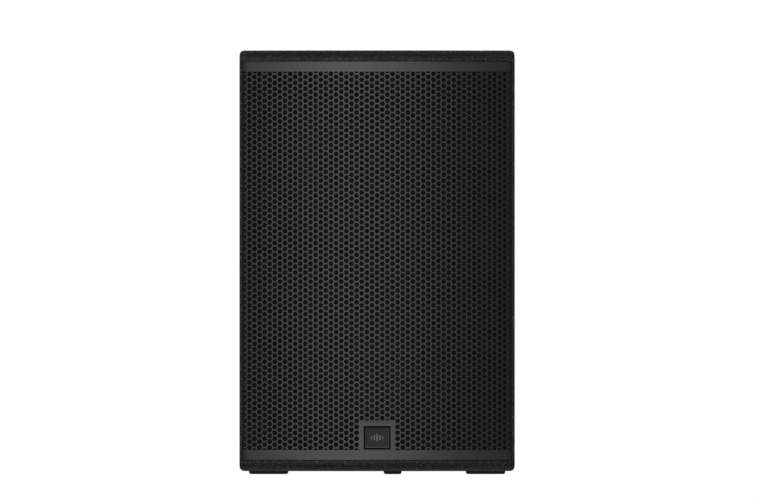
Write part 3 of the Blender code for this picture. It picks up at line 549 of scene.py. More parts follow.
def plan_outline(inset, front_inset):
    """The cabinet seen from above, counter-clockwise, drawn in by inset, and its bowed front by more."""
    arc_steps, corner_steps = 24, 7
    radius = BOW_RADIUS + LIP - inset - front_inset
    hub = (0.0, FRONT_Y + BOW_RADIUS + LIP)
    front_round = max(FRONT_CORNER - inset, 0.0006)
    rear_round = max(REAR_CORNER - inset, 0.0006)
    corner = side_fillet(inset, front_round, radius, hub[1])
    meet = math.atan2(corner.y - hub[1], corner.x)
    rear_y = REAR_Y - inset - rear_round
    rear_x = wall_x(rear_y) - (inset + rear_round) / math.cos(TAPER)
    half = arc(hub, radius, -math.pi / 2, meet, arc_steps)[1:-1]
    half += arc(corner, front_round, meet, TAPER, corner_steps)
    half += arc((rear_x, rear_y), rear_round, TAPER, math.pi / 2, corner_steps)
    return [(0.0, hub[1] - radius)] + half + [(-x, y) for x, y in reversed(half)]


def lip_panel(name, inner_z, outer_z, holes):
    """The top or the bottom panel, its outer edge rounded over and its front lip eased inside."""
    way = 1 if outer_z > inner_z else -1
    ease, steps = 0.0006, 14
    levels = []
    for i in range(4):
        angle = math.pi / 2 * i / 3
        levels.append((0.0, ease * (1 - math.sin(angle)), inner_z + way * ease * (1 - math.cos(angle))))
    for i in range(steps + 1):
        angle = math.pi / 2 * i / steps
        under = LIP_ROUND * (1 - math.sin(angle))  # how far this level is from the outer face
        side_rise = max(0.0, EDGE_ROUND - under)
        side_inset = EDGE_ROUND - math.sqrt(EDGE_ROUND**2 - side_rise**2)
        front_inset = LIP_ROUND * (1 - math.cos(angle))
        levels.append((side_inset, front_inset - side_inset, outer_z - way * under))
    solid = stacked([(plan_outline(inset, front), z) for inset, front, z in levels])
    floor, ceiling = sorted((inner_z - way * 0.01, inner_z + way * REBATE))
    cuts = [*holes, prism(box_outline(WIDTH * 2, 0.1, 0, BAFFLE_Y - 0.05), floor, ceiling)]
    finish_mesh(name, cut(solid, merged(cuts)), "coating", replaces=name.replace("_skin", ""))


def panels():
    holes = [prism(circle_outline(FLY_HOLE, x), BODY_TOP - 0.05, BODY_TOP + 0.05) for x in (-FLY_X, FLY_X)]
    lip_panel("top_panel_skin", BODY_TOP - PLY, BODY_TOP, holes)
    holes = [prism(circle_outline(SOCKET_HOLE, 0, SOCKET_Y, 64), BODY_BOTTOM, 0.1)]
    holes += [prism(circle_outline(SOCKET_RECESS, 0, SOCKET_Y, 96), -0.05, BODY_BOTTOM + 0.0033)]
    lip_panel("bottom_panel_skin", BODY_BOTTOM + PLY, BODY_BOTTOM, holes)
    for side, name in ((1, "right_side_panel"), (-1, "left_side_panel")):
        side_wall(side, name)


def side_wall(side, name):
    """A side wall with the thin lip that stands outside the grille's bent edge."""
    sink = REBATE + 0.0001  # let into the panels, so that no light shows between them
    floor_z, ceiling_z = BODY_BOTTOM + PLY - sink, BODY_TOP - PLY + sink
    ease = 0.0026
    edge_x = WIDTH / 2 - 0.0003
    front = arc((edge_x - ease, SIDE_FRONT_Y + ease), ease, -math.pi / 2, TAPER, 8)
    rear_y = REAR_Y - REAR_CORNER
    rear_x = wall_x(rear_y) - REAR_CORNER / math.cos(TAPER)
    rear = arc((rear_x, rear_y), REAR_CORNER, TAPER, math.pi / 2, 8)
    inside = [
        (inner_x(REAR_Y), REAR_Y),
        (inner_x(BAFFLE_Y), BAFFLE_Y),
        (wall_x(BAFFLE_Y) - SIDE_LIP, BAFFLE_Y),
    ]
    inner_edge = 0.0002
    hub = (edge_x - SIDE_LIP + inner_edge, SIDE_FRONT_Y + inner_edge)
    inside += arc(hub, inner_edge, math.pi, math.pi * 1.5, 3)
    outline = [(side * x, y) for x, y in front + rear + inside]
    hole = prism(round_outline(0.166, 0.106, 0.014), -0.06, 0.03, "X")
    hole.transform(handle_place(side))
    bm = cut(prism(outline, floor_z, ceiling_z), hole)
    finish_mesh(name + "_skin", bm, "coating", replaces=name)


# ---- Grille -------------------------------------------------------------------------------------

HEX_R = HEX_PITCH / math.sqrt(3)
WEB_PAINTED_HIGHLIGHT = 1  # the material of the metal around the holes, painted paler as a highlight


def grille_heading():
    """Half the bow's angle, up to where the sheet's edge bends back."""
    end_x = GRILLE_HALF
    for _ in range(8):
        heading = math.asin(end_x / BOW_RADIUS)
        end_x = GRILLE_HALF - BEND * (1 - math.sin(heading))
    return heading


HEADING = grille_heading()
BOW_END = BOW_RADIUS * HEADING  # along the sheet, from its middle
BEND_END = BOW_END + BEND * (math.pi / 2 + TAPER - HEADING)
SHEET_END = BEND_END + FLANGE


def on_sheet(u, z, depth):
    """A point of the flat sheet, rolled and bent to its real shape. depth is behind the front face."""
    side, s = (1 if u >= 0 else -1), abs(u)
    hub_y = FRONT_Y + LIP + BOW_RADIUS
    if s <= BOW_END:
        angle, radius, centre = s / BOW_RADIUS, BOW_RADIUS - depth, (0.0, hub_y)
    else:
        angle = HEADING + (min(s, BEND_END) - BOW_END) / BEND
        radius = BEND - depth
        reach = BOW_RADIUS - BEND
        centre = (math.sin(HEADING) * reach, hub_y - math.cos(HEADING) * reach)
    x = centre[0] + radius * math.sin(angle)
    y = centre[1] - radius * math.cos(angle)
    if s > BEND_END:
        x -= math.sin(TAPER) * (s - BEND_END)
        y += math.cos(TAPER) * (s - BEND_END)
    return (side * x, y, MIDDLE_Z + z)


class FlatSheet:
    """The perforated blank before it is bent, as one closed mesh. Points are (along, up, depth)."""

    def __init__(self):
        self.bm = bmesh.new()
        self.known = {}

    def vertex(self, u, z, depth):
        key = (round(u * 1e6), round(z * 1e6), round(depth * 1e6))
        if key not in self.known:
            self.known[key] = self.bm.verts.new((u, z, depth))
        return self.known[key]

    def face(self, points, material=0):
        self.bm.faces.new([self.vertex(*p) for p in points]).material_index = material

    def ring(self, outer, inner, material=0):
        """Quads between two rings of (u, z, depth)."""
        count = len(outer)
        for i in range(count):
            j = (i + 1) % count
            self.face((outer[i], outer[j], inner[j], inner[i]), material)

    def plain(self, polygon):
        """A plain patch on both faces of the sheet."""
        self.face([(u, z, 0.0) for u, z in polygon])
        self.face([(u, z, SHEET) for u, z in reversed(polygon)])

    def wall(self, line):
        """The sheet's cut edge along a line of (u, z), with the metal on its left."""
        for (u0, z0), (u1, z1) in zip(line, line[1:]):
            self.face(((u0, z0, 0.0), (u0, z0, SHEET), (u1, z1, SHEET), (u1, z1, 0.0)))

    def cell(self, outline_of, u, z):
        """A hole and the metal around it. outline_of(grow) gives the hole's outline, grown by grow,
        and outline_of(None) the cell's."""
        outer = [(u + a, z + b) for a, b in outline_of(None)]
        wide = [(u + a, z + b) for a, b in outline_of(HEX_EDGE)]
        hole = [(u + a, z + b) for a, b in outline_of(0.0)]
        self.ring([(*p, 0.0) for p in outer], [(*p, 0.0) for p in wide], WEB_PAINTED_HIGHLIGHT)
        self.ring([(*p, 0.0) for p in wide], [(*p, HEX_EDGE) for p in hole], WEB_PAINTED_HIGHLIGHT)
        self.ring([(*p, HEX_EDGE) for p in hole], [(*p, SHEET) for p in hole], WEB_PAINTED_HIGHLIGHT)
        self.ring([(*p, SHEET) for p in hole], [(*p, SHEET) for p in outer], WEB_PAINTED_HIGHLIGHT)


def hexagon_radius(grow):
    """Out to a corner of the cell, or of its hole grown by grow."""
    return HEX_R if grow is None else HEX_HOLE / math.sqrt(3) + grow * 2 / math.sqrt(3)


def hexagon(grow):
    """Flat above and below."""
    return circle_outline(hexagon_radius(grow), steps=6)


def half_hexagon(way):
    """A cell cut along its middle, with its hole cut short of the line. way is 1 for the upper half."""

    def outline(grow):
        line = 0.0 if grow is None else (HEX_PITCH - HEX_HOLE) / 2 - grow
        radius = hexagon_radius(grow)
        side, tall = radius - line / math.sqrt(3), radius * math.sqrt(3) / 2
        return [(-side, way * line), (-radius / 2, way * tall), (radius / 2, way * tall), (side, way * line)]

    return outline


def hole_is_left_out(column, level):
    return abs(column) <= PAD_COLUMNS and level < PAD_ROW


def perforations(sheet):
    edge = HEX_ROWS // 2
    for column in range(-HEX_COLUMNS, HEX_COLUMNS + 1):
        u = column * 1.5 * HEX_R
        odd = column % 2
        for step in range(-edge, edge + (not odd)):
            level = step + 0.5 * odd
            if hole_is_left_out(column, level):
                continue
            in_pad = abs(column) <= PAD_COLUMNS
            if level == edge:
                outline = half_hexagon(-1)
            elif level == -edge or (in_pad and level == PAD_ROW):
                outline = half_hexagon(1)
            else:
                outline = hexagon
            sheet.cell(outline, u, level * HEX_PITCH)


def line_stops():
    """Where the cells' corners lie along the straight upper and lower ends of the field."""
    stops = [-(1.5 * HEX_COLUMNS + 1) * HEX_R]
    for column in range(-HEX_COLUMNS + 1, HEX_COLUMNS, 2):
        stops += [(1.5 * column - 0.5) * HEX_R, (1.5 * column + 0.5) * HEX_R]
    return stops + [-stops[0]]


def margins(sheet, half_height):
    """The plain bands above and below the holes, and the edges that bend back."""
    edge = HEX_ROWS // 2
    field = edge * HEX_PITCH
    stops = [-SHEET_END] + line_stops() + [SHEET_END]
    for left, right in zip(stops, stops[1:]):
        sheet.plain([(left, field), (right, field), (right, half_height), (left, half_height)])
        sheet.plain([(left, -half_height), (right, -half_height), (right, -field), (left, -field)])
    zigzag = []
    for step in range(-2 * edge, 2 * edge + 1):
        reach = 1.5 * HEX_COLUMNS + (1 if step % 2 == 0 else 0.5)
        zigzag.append((reach * HEX_R, step * HEX_PITCH / 2))
    for (u0, z0), (u1, z1) in zip(zigzag, zigzag[1:]):
        sheet.plain([(u0, z0), (SHEET_END, z0), (SHEET_END, z1), (u1, z1)])
        sheet.plain([(-SHEET_END, z0), (-u0, z0), (-u1, z1), (-SHEET_END, z1)])
    levels = [z for _, z in zigzag]
    sheet.wall([(u, -half_height) for u in stops])
    sheet.wall([(SHEET_END, z) for z in [-half_height, *levels, half_height]])
    sheet.wall([(u, half_height) for u in reversed(stops)])
    sheet.wall([(-SHEET_END, z) for z in [half_height, *reversed(levels), -half_height]])


def badge_pad(sheet):
    """The plain part around the badge's opening."""
    edge = HEX_ROWS // 2
    reach = 1.5 * (PAD_COLUMNS + 1) - 1
    top = [(u * HEX_R, PAD_ROW * HEX_PITCH) for u in (5, 4, 2, 1, -1, -2, -4, -5)]
    left = []
    for step in range(2 * PAD_ROW - 1, -2 * edge, -1):
        bulge = reach if step % 2 == 0 else reach + 0.5
        left.append((-bulge * HEX_R, step * HEX_PITCH / 2))
    bottom = [(-u, -edge * HEX_PITCH) for u, _ in top]
    outer = top + left + bottom + [(-u, z) for u, z in reversed(left)]
    centre_z = BADGE_Z - MIDDLE_Z
    opening = {}
    for grow in (HEX_EDGE, 0.0):
        size = (BADGE_HOLE[0] + 2 * grow, BADGE_HOLE[1] + 2 * grow)
        opening[grow] = round_outline(*size, 0.0010 + grow, 0, centre_z, 4)
    wide, hole = opening[HEX_EDGE], opening[0.0]
    for inner, depth in ((wide, 0.0), (hole, SHEET)):
        loops = [[Vector((*p, 0)) for p in loop] for loop in (outer, inner)]
        flat = outer + inner
        for triangle in tessellate_polygon(loops):
            sheet.face([(*flat[i], depth) for i in triangle])
    sheet.ring([(*p, 0.0) for p in wide], [(*p, HEX_EDGE) for p in hole])
    sheet.ring([(*p, HEX_EDGE) for p in hole], [(*p, SHEET) for p in hole])


def grille():
    sheet = FlatSheet()
    perforations(sheet)
    margins(sheet, (BODY_TOP - BODY_BOTTOM) / 2 - PLY + REBATE - GRILLE_GAP)
    badge_pad(sheet)
    bm = sheet.bm
    bends = 4
    for i in range(bends + 1):
        u = BOW_END + (BEND_END - BOW_END) * i / bends
        for at in (u, -u):
            near = [f for f in bm.faces if abs(f.calc_center_median().x - at) < 0.02]
            edges = {e for f in near for e in f.edges}
            verts = {v for f in near for v in f.verts}
            bmesh.ops.bisect_plane(
                bm, geom=[*near, *edges, *verts], dist=1e-7, plane_co=(at, 0, 0), plane_no=(1, 0, 0)
            )
    for vertex in bm.verts:
        vertex.co = on_sheet(*vertex.co)
    piece = finish_mesh("grille_perforated", bm, "grille_steel", replaces="grille", sharp=30)
    # the metal around the holes takes the paler material, its painted highlight
    piece.data.materials.append(MATERIALS["grille_web_painted_highlight"])


def foam():
    """Open foam laid behind the grille, with a slightly uneven face."""
    hub_y = FRONT_Y + LIP + BOW_RADIUS
    front = BOW_RADIUS - SHEET - FIT
    spread = math.asin((GRILLE_HALF - 0.0052) / BOW_RADIUS)
    low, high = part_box("grille_foam")[0].z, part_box("grille_foam")[1].z
    rows, columns, depth, uneven = 60, 40, 0.0060, 0.0005
    rng = random.Random(4)
    bm = bmesh.new()
    layers = []
    for thick in (0.0, depth):
        grid = []
        for i in range(rows + 1):
            z = low + (high - low) * i / rows
            row = []
            for j in range(columns + 1):
                angle = -math.pi / 2 - spread + 2 * spread * j / columns
                dent = uneven * rng.random() if thick == 0.0 else 0.0
                radius = front - thick - dent
                row.append(bm.verts.new((radius * math.cos(angle), hub_y + radius * math.sin(angle), z)))
            grid.append(row)
        layers.append(grid)
        for i in range(rows):
            for j in range(columns):
                bm.faces.new((grid[i][j], grid[i][j + 1], grid[i + 1][j + 1], grid[i + 1][j]))
    rims = []
    for grid in layers:
        right, left = [row[-1] for row in grid[1:]], [row[0] for row in grid[-2:0:-1]]
        rims.append(grid[0] + right + grid[-1][-2::-1] + left)
    bridge(bm, *rims)
    hole = prism(box_outline(0.054, 0.048, 0, BADGE_Z), -0.22, -0.17, "Y")
    bm.normal_update()
    piece = finish_mesh("foam_sheet", cut(bm, hole), "foam", replaces="grille_foam")


# ---- Badge --------------------------------------------------------------------------------------


def badge():
    """A framed plate with five raised bars, in a black tray."""
    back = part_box("badge")[1].y
    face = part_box("badge")[0].y
    width, height = BADGE_SIZE
    levels = [
        (0.0, back, 0.0015),
        (0.0, face + 0.0003, 0.0015),
        (0.0002, face, 0.0014),
        (0.0013, face + 0.00012, 0.0010),
        (0.00165, face + 0.0011, 0.0009),
        (0.0020, face + 0.0002, 0.0008),
    ]
    layers = []
    for inset, y, radius in levels:
        layers.append((round_outline(width - 2 * inset, height - 2 * inset, radius, 0, BADGE_Z, 4), y))
    piece = finish_mesh("badge_plate", stacked(layers, "Y"), "badge", replaces="badge", sharp=15)
    piece.data.materials.append(MATERIALS["badge_rim"])
    count = len(layers[0][0])
    for polygon in piece.data.polygons[2 * count:3 * count]:
        polygon.material_index = 1
    bars = []
    for i, tall in enumerate((0.0046, 0.0084, 0.0128, 0.0084, 0.0046)):
        x = (i - 2) * 0.0043
        levels = [(0.0, face + 0.0002), (0.0, face - 0.00015), (0.00025, face - 0.00035)]
        bars.append(plate(0.0024, tall, 0.0011, levels, "Y", x, BADGE_Z, 5))
    finish_mesh("badge_emblem", merged(bars), "emblem")
    low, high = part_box("badge_holder")
    levels = [(0.0, high.y), (0.0, low.y + 0.0004), (0.0004, low.y)]
    tray = plate(0.052, 0.046, 0.003, levels, "Y", 0, BADGE_Z)
    finish_mesh("badge_tray", tray, "foam", replaces="badge_holder")


# ---- Feet, pole socket, lifting points ----------------------------------------------------------


def foot(node, corner):
    low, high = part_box(node)
    width, depth = high.x - low.x, high.y - low.y
    x, y = (low.x + high.x) / 2, (low.y + high.y) / 2
    top = BODY_BOTTOM + 0.0001  # let into the panel, so that no light shows over the foot
    levels = [(0.0024, 0.0), (0.0020, 0.0001), (0.0002, 0.0021), (0.0, 0.0026), (0.0, top)]
    bm = plate(width, depth, corner, levels, "Z", x, y, 8)
    offsets = (-width / 3.2, width / 3.2) if width > 0.05 else (0.0,)
    wells = [prism(circle_outline(0.0050, x + dx, y, 32), -0.01, 0.0030) for dx in offsets]
    bm = cut(bm, merged(wells))
    finish_mesh(node + "_moulded", bm, "rubber", replaces=node)
    return [((x + dx, y, 0.0031), DOWN) for dx in offsets]


def pole_socket():
    low, high = BODY_BOTTOM, BODY_BOTTOM + 0.0900
    bore, outer, flange, thick = 0.0180, 0.0235, 0.0450, 0.0030
    profile = [(0.0, high), (outer - 0.002, high), (outer, high - 0.002), (outer, low + thick)]
    profile += [(flange, low + thick)]
    profile += arc((flange - 0.0012, low + 0.0012), 0.0012, 0, -math.pi / 2, 5)
    profile += [(0.0262, low), (0.0258, low + 0.0005), (0.0232, low + 0.0005), (0.0228, low)]
    profile += arc((bore + 0.0018, low + 0.0018), 0.0018, -math.pi / 2, -math.pi, 6)
    profile += [(bore, high - 0.004), (0.0, high - 0.004)]
    bm = moved(turned(profile, 96), 0, SOCKET_Y, 0)
    finish_mesh("pole_socket_moulded", bm, "black_plastic", replaces="pole_socket")
    reach = 0.0355
    turns = [math.radians(45 + 90 * i) for i in range(4)]
    return [((reach * math.cos(a), SOCKET_Y + reach * math.sin(a), low + 0.0012), DOWN) for a in turns]


def fly_points():
    top = BODY_TOP - 0.0002
    for side, node in ((1, "fly_point_right"), (-1, "fly_point_left")):
        profile = [(0.0048, top - 0.0172), (0.0105, top - 0.0172), (0.0122, top - 0.0150)]
        profile += [(0.0122, top - 0.0004), (0.0118, top), (0.0060, top)]
        for i in range(10):  # the thread inside
            z = top - 0.0012 - 0.0015 * i
            profile += [(0.0052, z), (0.0046, z - 0.00075)]
        bm = moved(turned(profile, 72), side * FLY_X, 0, 0)
        finish_mesh(node + "_insert", bm, "steel", replaces=node)


# ---- Screws -------------------------------------------------------------------------------------


def screw_mesh(radius, height):
    """A pan head about +Z with a cross recess, its underside at 0."""
    profile = [(0.0, 0.0), (radius, 0.0), (radius, height * 0.45)]
    profile += [(radius * math.cos(a), height * (0.45 + 0.55 * math.sin(a))) for a in (0.35, 0.7, 1.05, 1.3)]
    profile += [(0.0, height)]
    deep, half = height * 0.35, radius * 0.13
    arms = [
        prism(box_outline(radius * 1.15, half * 2), deep, height * 2),
        prism(box_outline(half * 2, radius * 1.15), deep, height * 2),
    ]
    return cut(turned(profile, 28), *arms)


def screws(name, places, radius, height, material="black_screw", seed=1):
    """One piece of several alike screws. places are (head's seat, outward direction)."""
    rng = random.Random(seed)
    head = screw_mesh(radius, height)
    heads = []
    for seat, out in places:
        turn = Vector((0, 0, 1)).rotation_difference(Vector(out)).to_matrix().to_4x4()
        spin = Matrix.Rotation(rng.uniform(0, math.pi / 2), 4, "Z")
        heads.append(head.copy())
        heads[-1].transform(Matrix.Translation(seat) @ turn @ spin)
    head.free()
    finish_mesh(name, merged(heads), material, sharp=30, outward=False)


# ---- Handles ------------------------------------------------------------------------------------


def handle_place(side):
    """Puts a shape drawn with +X outwards from the wall onto the right (1) or left (-1) side."""
    turn = TAPER if side > 0 else math.pi - TAPER
    place = Matrix.Translation((side * wall_x(HANDLE_Y), HANDLE_Y, HANDLE_Z))
    return place @ Matrix.Rotation(turn, 4, "Z")


def handle(side, node):
    """A moulded cup with a grip bar across it."""
    flange, mouth, ease = (0.192, 0.132, 0.020), (0.157, 0.097, 0.010), 0.0012
    face, floor = 0.0030, -0.0545
    levels = []
    for i in range(5):  # round the bottom of the cup
        angle = math.pi / 2 * i / 4
        inset = 0.0010 + 0.005 * (1 - math.sin(angle))
        levels.append((mouth, inset, floor + 0.005 * (1 - math.cos(angle))))
    levels.append((mouth, 0.0, face - 0.0020))
    for i in range(1, 4):
        angle = math.pi / 2 * i / 3
        levels.append((mouth, -0.0016 * (1 - math.cos(angle)), face - 0.0020 * (1 - math.sin(angle))))
    levels += [(flange, ease, face), (flange, ease * 0.3, face - ease * 0.3), (flange, 0.0, face - ease)]
    levels += [(flange, 0.0, FIT), ((0.164, 0.104, 0.013), 0.0, FIT), ((0.164, 0.104, 0.013), 0.0, -0.058)]
    cup = []
    for (width, height, radius), inset, x in levels:
        corner = max(radius - inset, 0.0012)
        cup.append((round_outline(width - 2 * inset, height - 2 * inset, corner, steps=7), x))
    bar, reach, steps = [], 0.079, 24
    for i in range(steps + 1):
        along = -reach + 2 * reach * i / steps
        swell = 0.0006 * math.cos(along / reach * math.pi / 2)
        thick, tall = 0.030 - 0.0012 + 2 * swell, 0.020 - 0.0012 + 2 * swell
        bar.append((round_outline(thick, tall, 0.0090, -0.0125, 0.014), along))
    bm = combined(stacked(cup, "X"), (stacked(bar, "Y"), "UNION"))
    bm.transform(handle_place(side))
    finish_mesh(node + "_moulded", bm, "black_plastic", replaces=node, sharp=28)
    place = handle_place(side)
    out = (place.to_3x3() @ Vector((1, 0, 0))).normalized()
    seats = [(face - 0.0002, sy * 0.0860, sz * 0.0480) for sy in (-1, 1) for sz in (-1, 1)]
    seats += [(face - 0.0002, 0.0, sz * 0.0570) for sz in (-1, 1)]
    return [(place @ Vector(seat), out) for seat in seats]


# ---- Amplifier ----------------------------------------------------------------------------------

PLATE_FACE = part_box("amp_panel")[1].y
SEAT = PLATE_FACE + FIT  # of the parts set in the panel
FLANGE_FACE = SEAT + 0.002
BEYOND = 0.3  # where a cutting tool ends, well behind the panel
JACK_X, JACK_Z = 0.078, 0.428
LATCH_Z = JACK_Z + 0.0093
KNOB_X, KNOB_Z = 0.078, 0.492
BUTTON_X = (-0.018, 0.018)
LAMP_X, LAMP_Z = (-0.0105, -0.0035, 0.0035, 0.0105), 0.5180
INLET_PLACE = (-0.066, 0.366)
SWITCH_PLACE = (0.066, 0.366)
SWITCH_TILT = math.radians(10)


def at_back(bm, x, z, y=0.0):
    """Turns a shape drawn about +Z so that it faces backwards, with its +Y up, at (x, z) on the panel."""
    turn = Matrix.Rotation(-math.pi / 2, 4, "X") @ Matrix.Rotation(math.pi, 4, "Z")
    return moved(bm, x, PLATE_FACE + y, z, turn)


def amp_plate():
    """The panel with eased edges, in place of the plain one. Its holes are under the parts set in it."""
    low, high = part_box("amp_panel")
    width, height = high.x - low.x, high.z - low.z
    middle = (low.z + high.z) / 2
    cuts = [circle_outline(0.0123, x, JACK_Z) for x in (-JACK_X, 0.0, JACK_X)]
    cuts += [circle_outline(0.0036, x, KNOB_Z, 32) for x in (-KNOB_X, KNOB_X)]
    cuts += [circle_outline(0.0046, x, KNOB_Z, 32) for x in BUTTON_X]
    cuts += [box_outline(0.0280, 0.0205, *INLET_PLACE), box_outline(0.0145, 0.0245, *SWITCH_PLACE)]
    cuts += [circle_outline(0.0017, x, LAMP_Z, 24) for x in LAMP_X]
    tools = merged([prism(outline, low.y - 0.01, high.y + 0.01, "Y") for outline in cuts])
    bm = cut(slab(width, height, 0.006, 0, middle, low.y, high.y, 0.0008), tools)
    finish_mesh("amp_panel_plate", bm, "panel_metal", replaces="amp_panel", sharp=20)
    places, edge, sunk = [], 0.1245, high.y - 0.0001
    for x in (-edge, 0.0, edge):
        places += [((x, sunk, middle + s * 0.1950), BACKWARDS) for s in (-1, 1)]
    for z in (-0.065, 0.065):
        places += [((s * edge, sunk, middle + z), BACKWARDS) for s in (-1, 1)]
    screws("screws_amp_panel", places, 0.0036, 0.0024, seed=2)


def lamps():
    tints = ("lens_green", "lens_green", "lens_amber", "lens_red")
    for number, (x, tint) in enumerate(zip(LAMP_X, tints), 1):
        profile = [(0.0, -0.0030), (0.0015, -0.0030), (0.0015, 0.0001)]
        profile += [(0.0015 * math.cos(a), 0.0001 + 0.0008 * math.sin(a)) for a in (0.4, 0.8, 1.2)]
        profile += [(0.0, 0.0009)]
        finish_mesh(f"lamp_{number}", at_back(turned(profile, 24), x, LAMP_Z), tint)


def ink_bar(length, width, x, z, turn=0.0, radius=0.0):
    """A printed stroke, pointing up before it is turned."""
    bm = prism(box_outline(width, length, 0, radius + length / 2), 0.0, 0.00006)
    bm.transform(Matrix.Rotation(turn, 4, "Z"))
    return at_back(bm, x, z, 0.00001)


def digits(text, size, x, z):
    curve = bpy.data.curves.new("digits", "FONT")
    curve.body = text
    curve.size = size
    curve.extrude = 0.00003
    curve.align_x = "CENTER"
    curve.align_y = "CENTER"
    curve.resolution_u = 3
    obj = bpy.data.objects.new("digits", curve)
    bpy.context.scene.collection.objects.link(obj)
    bpy.context.view_layer.update()
    mesh = bpy.data.meshes.new_from_object(obj.evaluated_get(bpy.context.evaluated_depsgraph_get()))
    bm = bmesh.new()
    bm.from_mesh(mesh)
    bpy.data.objects.remove(obj)
    bpy.data.curves.remove(curve)
    bpy.data.meshes.remove(mesh)
    turn = Matrix.Rotation(math.pi, 4, "Z") @ FACING  # to read along -X, as it is seen from behind
    return moved(bm, x, PLATE_FACE + 0.00004, z, turn)


def markings():
    """Dial strokes, plain frames around the inputs and numbers on the dials. No words."""
    strokes = []
    for x in (-KNOB_X, KNOB_X):
        for i in range(11):
            turn = math.radians(150 - 30 * i)
            long = i in (0, 5, 10)
            strokes.append(ink_bar(0.0024 if long else 0.0015, 0.0005, x, KNOB_Z, turn, 0.0112))
        strokes.append(digits("0", 0.0052, x + 0.0085, KNOB_Z - 0.0150))
        strokes.append(digits("10", 0.0052, x - 0.0085, KNOB_Z - 0.0150))
    for x, name in ((-JACK_X, "1"), (JACK_X, "2")):
        strokes.append(digits(name, 0.0060, x, JACK_Z + 0.0235))
    strokes += [ink_frame(0.0440, 0.0600, x, JACK_Z + 0.004) for x in (-JACK_X, 0.0, JACK_X)]
    strokes.append(ink_frame(0.2160, 0.0500, 0, INLET_PLACE[1]))
    finish_mesh("panel_markings", merged(strokes), "white_ink", sharp=60)


def ink_frame(width, height, x, z):
    """A flat printed frame on the panel, its line 0.4 mm wide."""
    low, high, line = PLATE_FACE + 0.00001, PLATE_FACE + 0.00007, 0.0004
    outer = round_outline(width, height, 0.004, x, z)
    inner = round_outline(width - 2 * line, height - 2 * line, 0.004 - line, x, z)
    return stacked([(outer, low), (outer, high), (inner, high), (inner, low)], "Y", capped=False)


def flute(angle, radius, z):
    """The grooves down a knob's side."""
    if not 0.0035 < z < 0.0150 or radius < 0.0070:
        return radius
    return radius - 0.00045 * max(0.0, math.cos(angle * 14)) ** 2


def knobs():
    for number, x in ((1, -KNOB_X), (2, KNOB_X)):
        profile = [(0.0, 0.0161), (0.0058, 0.0161), (0.0061, 0.0165), (0.0069, 0.0165)]
        profile += [(0.0074, 0.0160), (0.0075, 0.0151), (0.0075, 0.0148)]
        profile += [(0.0075 + 0.0007 * i / 4, 0.0148 - 0.0110 * i / 4) for i in range(1, 5)]
        profile += [(0.0083, 0.0034), (0.0090, 0.0024), (0.0090, 0.0008), (0.0030, 0.0008)]
        profile += [(0.0030, -0.0190), (0.0, -0.0190)]
        bm = at_back(turned(profile, 112, flute), x, KNOB_Z)
        body = f"gain_{number}"
        node = f"gain_knob_{number}"
        finish_mesh(node + "_fluted", bm, "black_plastic", body, node, sharp=32)
        line = prism(box_outline(0.0010, 0.0062, 0, 0.0036), 0.0158, 0.01625)
        edge = prism(box_outline(0.0010, 0.0012, 0, 0.0072), 0.0100, 0.0160)
        pointer = at_back(merged([line, edge]), x, KNOB_Z)
        finish_mesh(node + "_pointer", pointer, "white_ink", body)


def jacks():
    """The inputs and the output, with the contacts' holes."""
    places = []
    for node, x, middle_hole, depth in (
        ("combo_jack_1", -JACK_X, 0.0033, 0.020),
        ("combo_jack_2", JACK_X, 0.0033, 0.020),
        ("xlr_output", 0.0, 0.0093, 0.014),
    ):
        floor_y = FLANGE_FACE - depth
        barrel = prism(circle_outline(0.0120, x, JACK_Z, 64), 0.1510, SEAT + 0.001, "Y")
        tools = [prism(circle_outline(middle_hole, x, JACK_Z, 48), floor_y, BEYOND, "Y")]
        if node == "xlr_output":
            pins = contacts(x, (90, 210, 330), 0.0045, 0.0012, floor_y - 0.001, floor_y + 0.0110)
            finish_mesh("xlr_output_pins", merged(pins), "steel")
        else:
            tools += contacts(x, (205, 270, 335), 0.0075, 0.0015, FLANGE_FACE - 0.012, BEYOND)
            tools.append(prism(box_outline(0.0076, 0.0036, x, LATCH_Z), FLANGE_FACE - 0.010, BEYOND, "Y"))
        floor_y = FLANGE_FACE - 0.0004
        groove = [(0.0114, floor_y), (0.0118, floor_y), (0.0118, BEYOND), (0.0114, BEYOND)]
        tools.append(stacked([(circle_outline(r, x, JACK_Z, 64), y) for r, y in groove], "Y", capped=False))
        flange = slab(0.026, 0.031, 0.003, x, JACK_Z, SEAT, FLANGE_FACE, 0.0006)
        bm = combined(flange, (barrel, "UNION"), *[(tool, "DIFFERENCE") for tool in tools])
        finish_mesh(node + "_socket", bm, "black_plastic", replaces=node, sharp=20)
        places += [((x + s * 0.0098, FLANGE_FACE - 0.0001, JACK_Z + s * 0.0122), BACKWARDS) for s in (-1, 1)]
    screws("screws_jacks", places, 0.0021, 0.0012, seed=3)


def contacts(x, angles, reach, radius, low, high):
    """Round bars about a connector's middle, as pins or as tools for their holes."""
    bars = []
    for angle in angles:
        turn = math.radians(angle)
        centre = (x + reach * math.cos(turn), JACK_Z + reach * math.sin(turn))
        bars.append(prism(circle_outline(radius, *centre, 20), low, high, "Y"))
    return bars


def latches():
    """The sprung tabs over the two inputs, with three grooves for the thumb."""
    for number, x in ((1, -JACK_X), (2, JACK_X)):
        grooves = []
        for dz in (-0.0006, 0.0, 0.0006):
            groove = box_outline(0.0090, 0.0003, x, LATCH_Z + dz)
            grooves.append(prism(groove, FLANGE_FACE + 0.0014, BEYOND, "Y"))
        tab = slab(0.0070, 0.0030, 0.0006, x, LATCH_Z, FLANGE_FACE - 0.0070, FLANGE_FACE + 0.0018, 0.0004)
        node, body = f"jack_latch_{number}", f"latch_{number}"
        finish_mesh(node + "_tab", cut(tab, merged(grooves)), "steel", body, node, sharp=20)


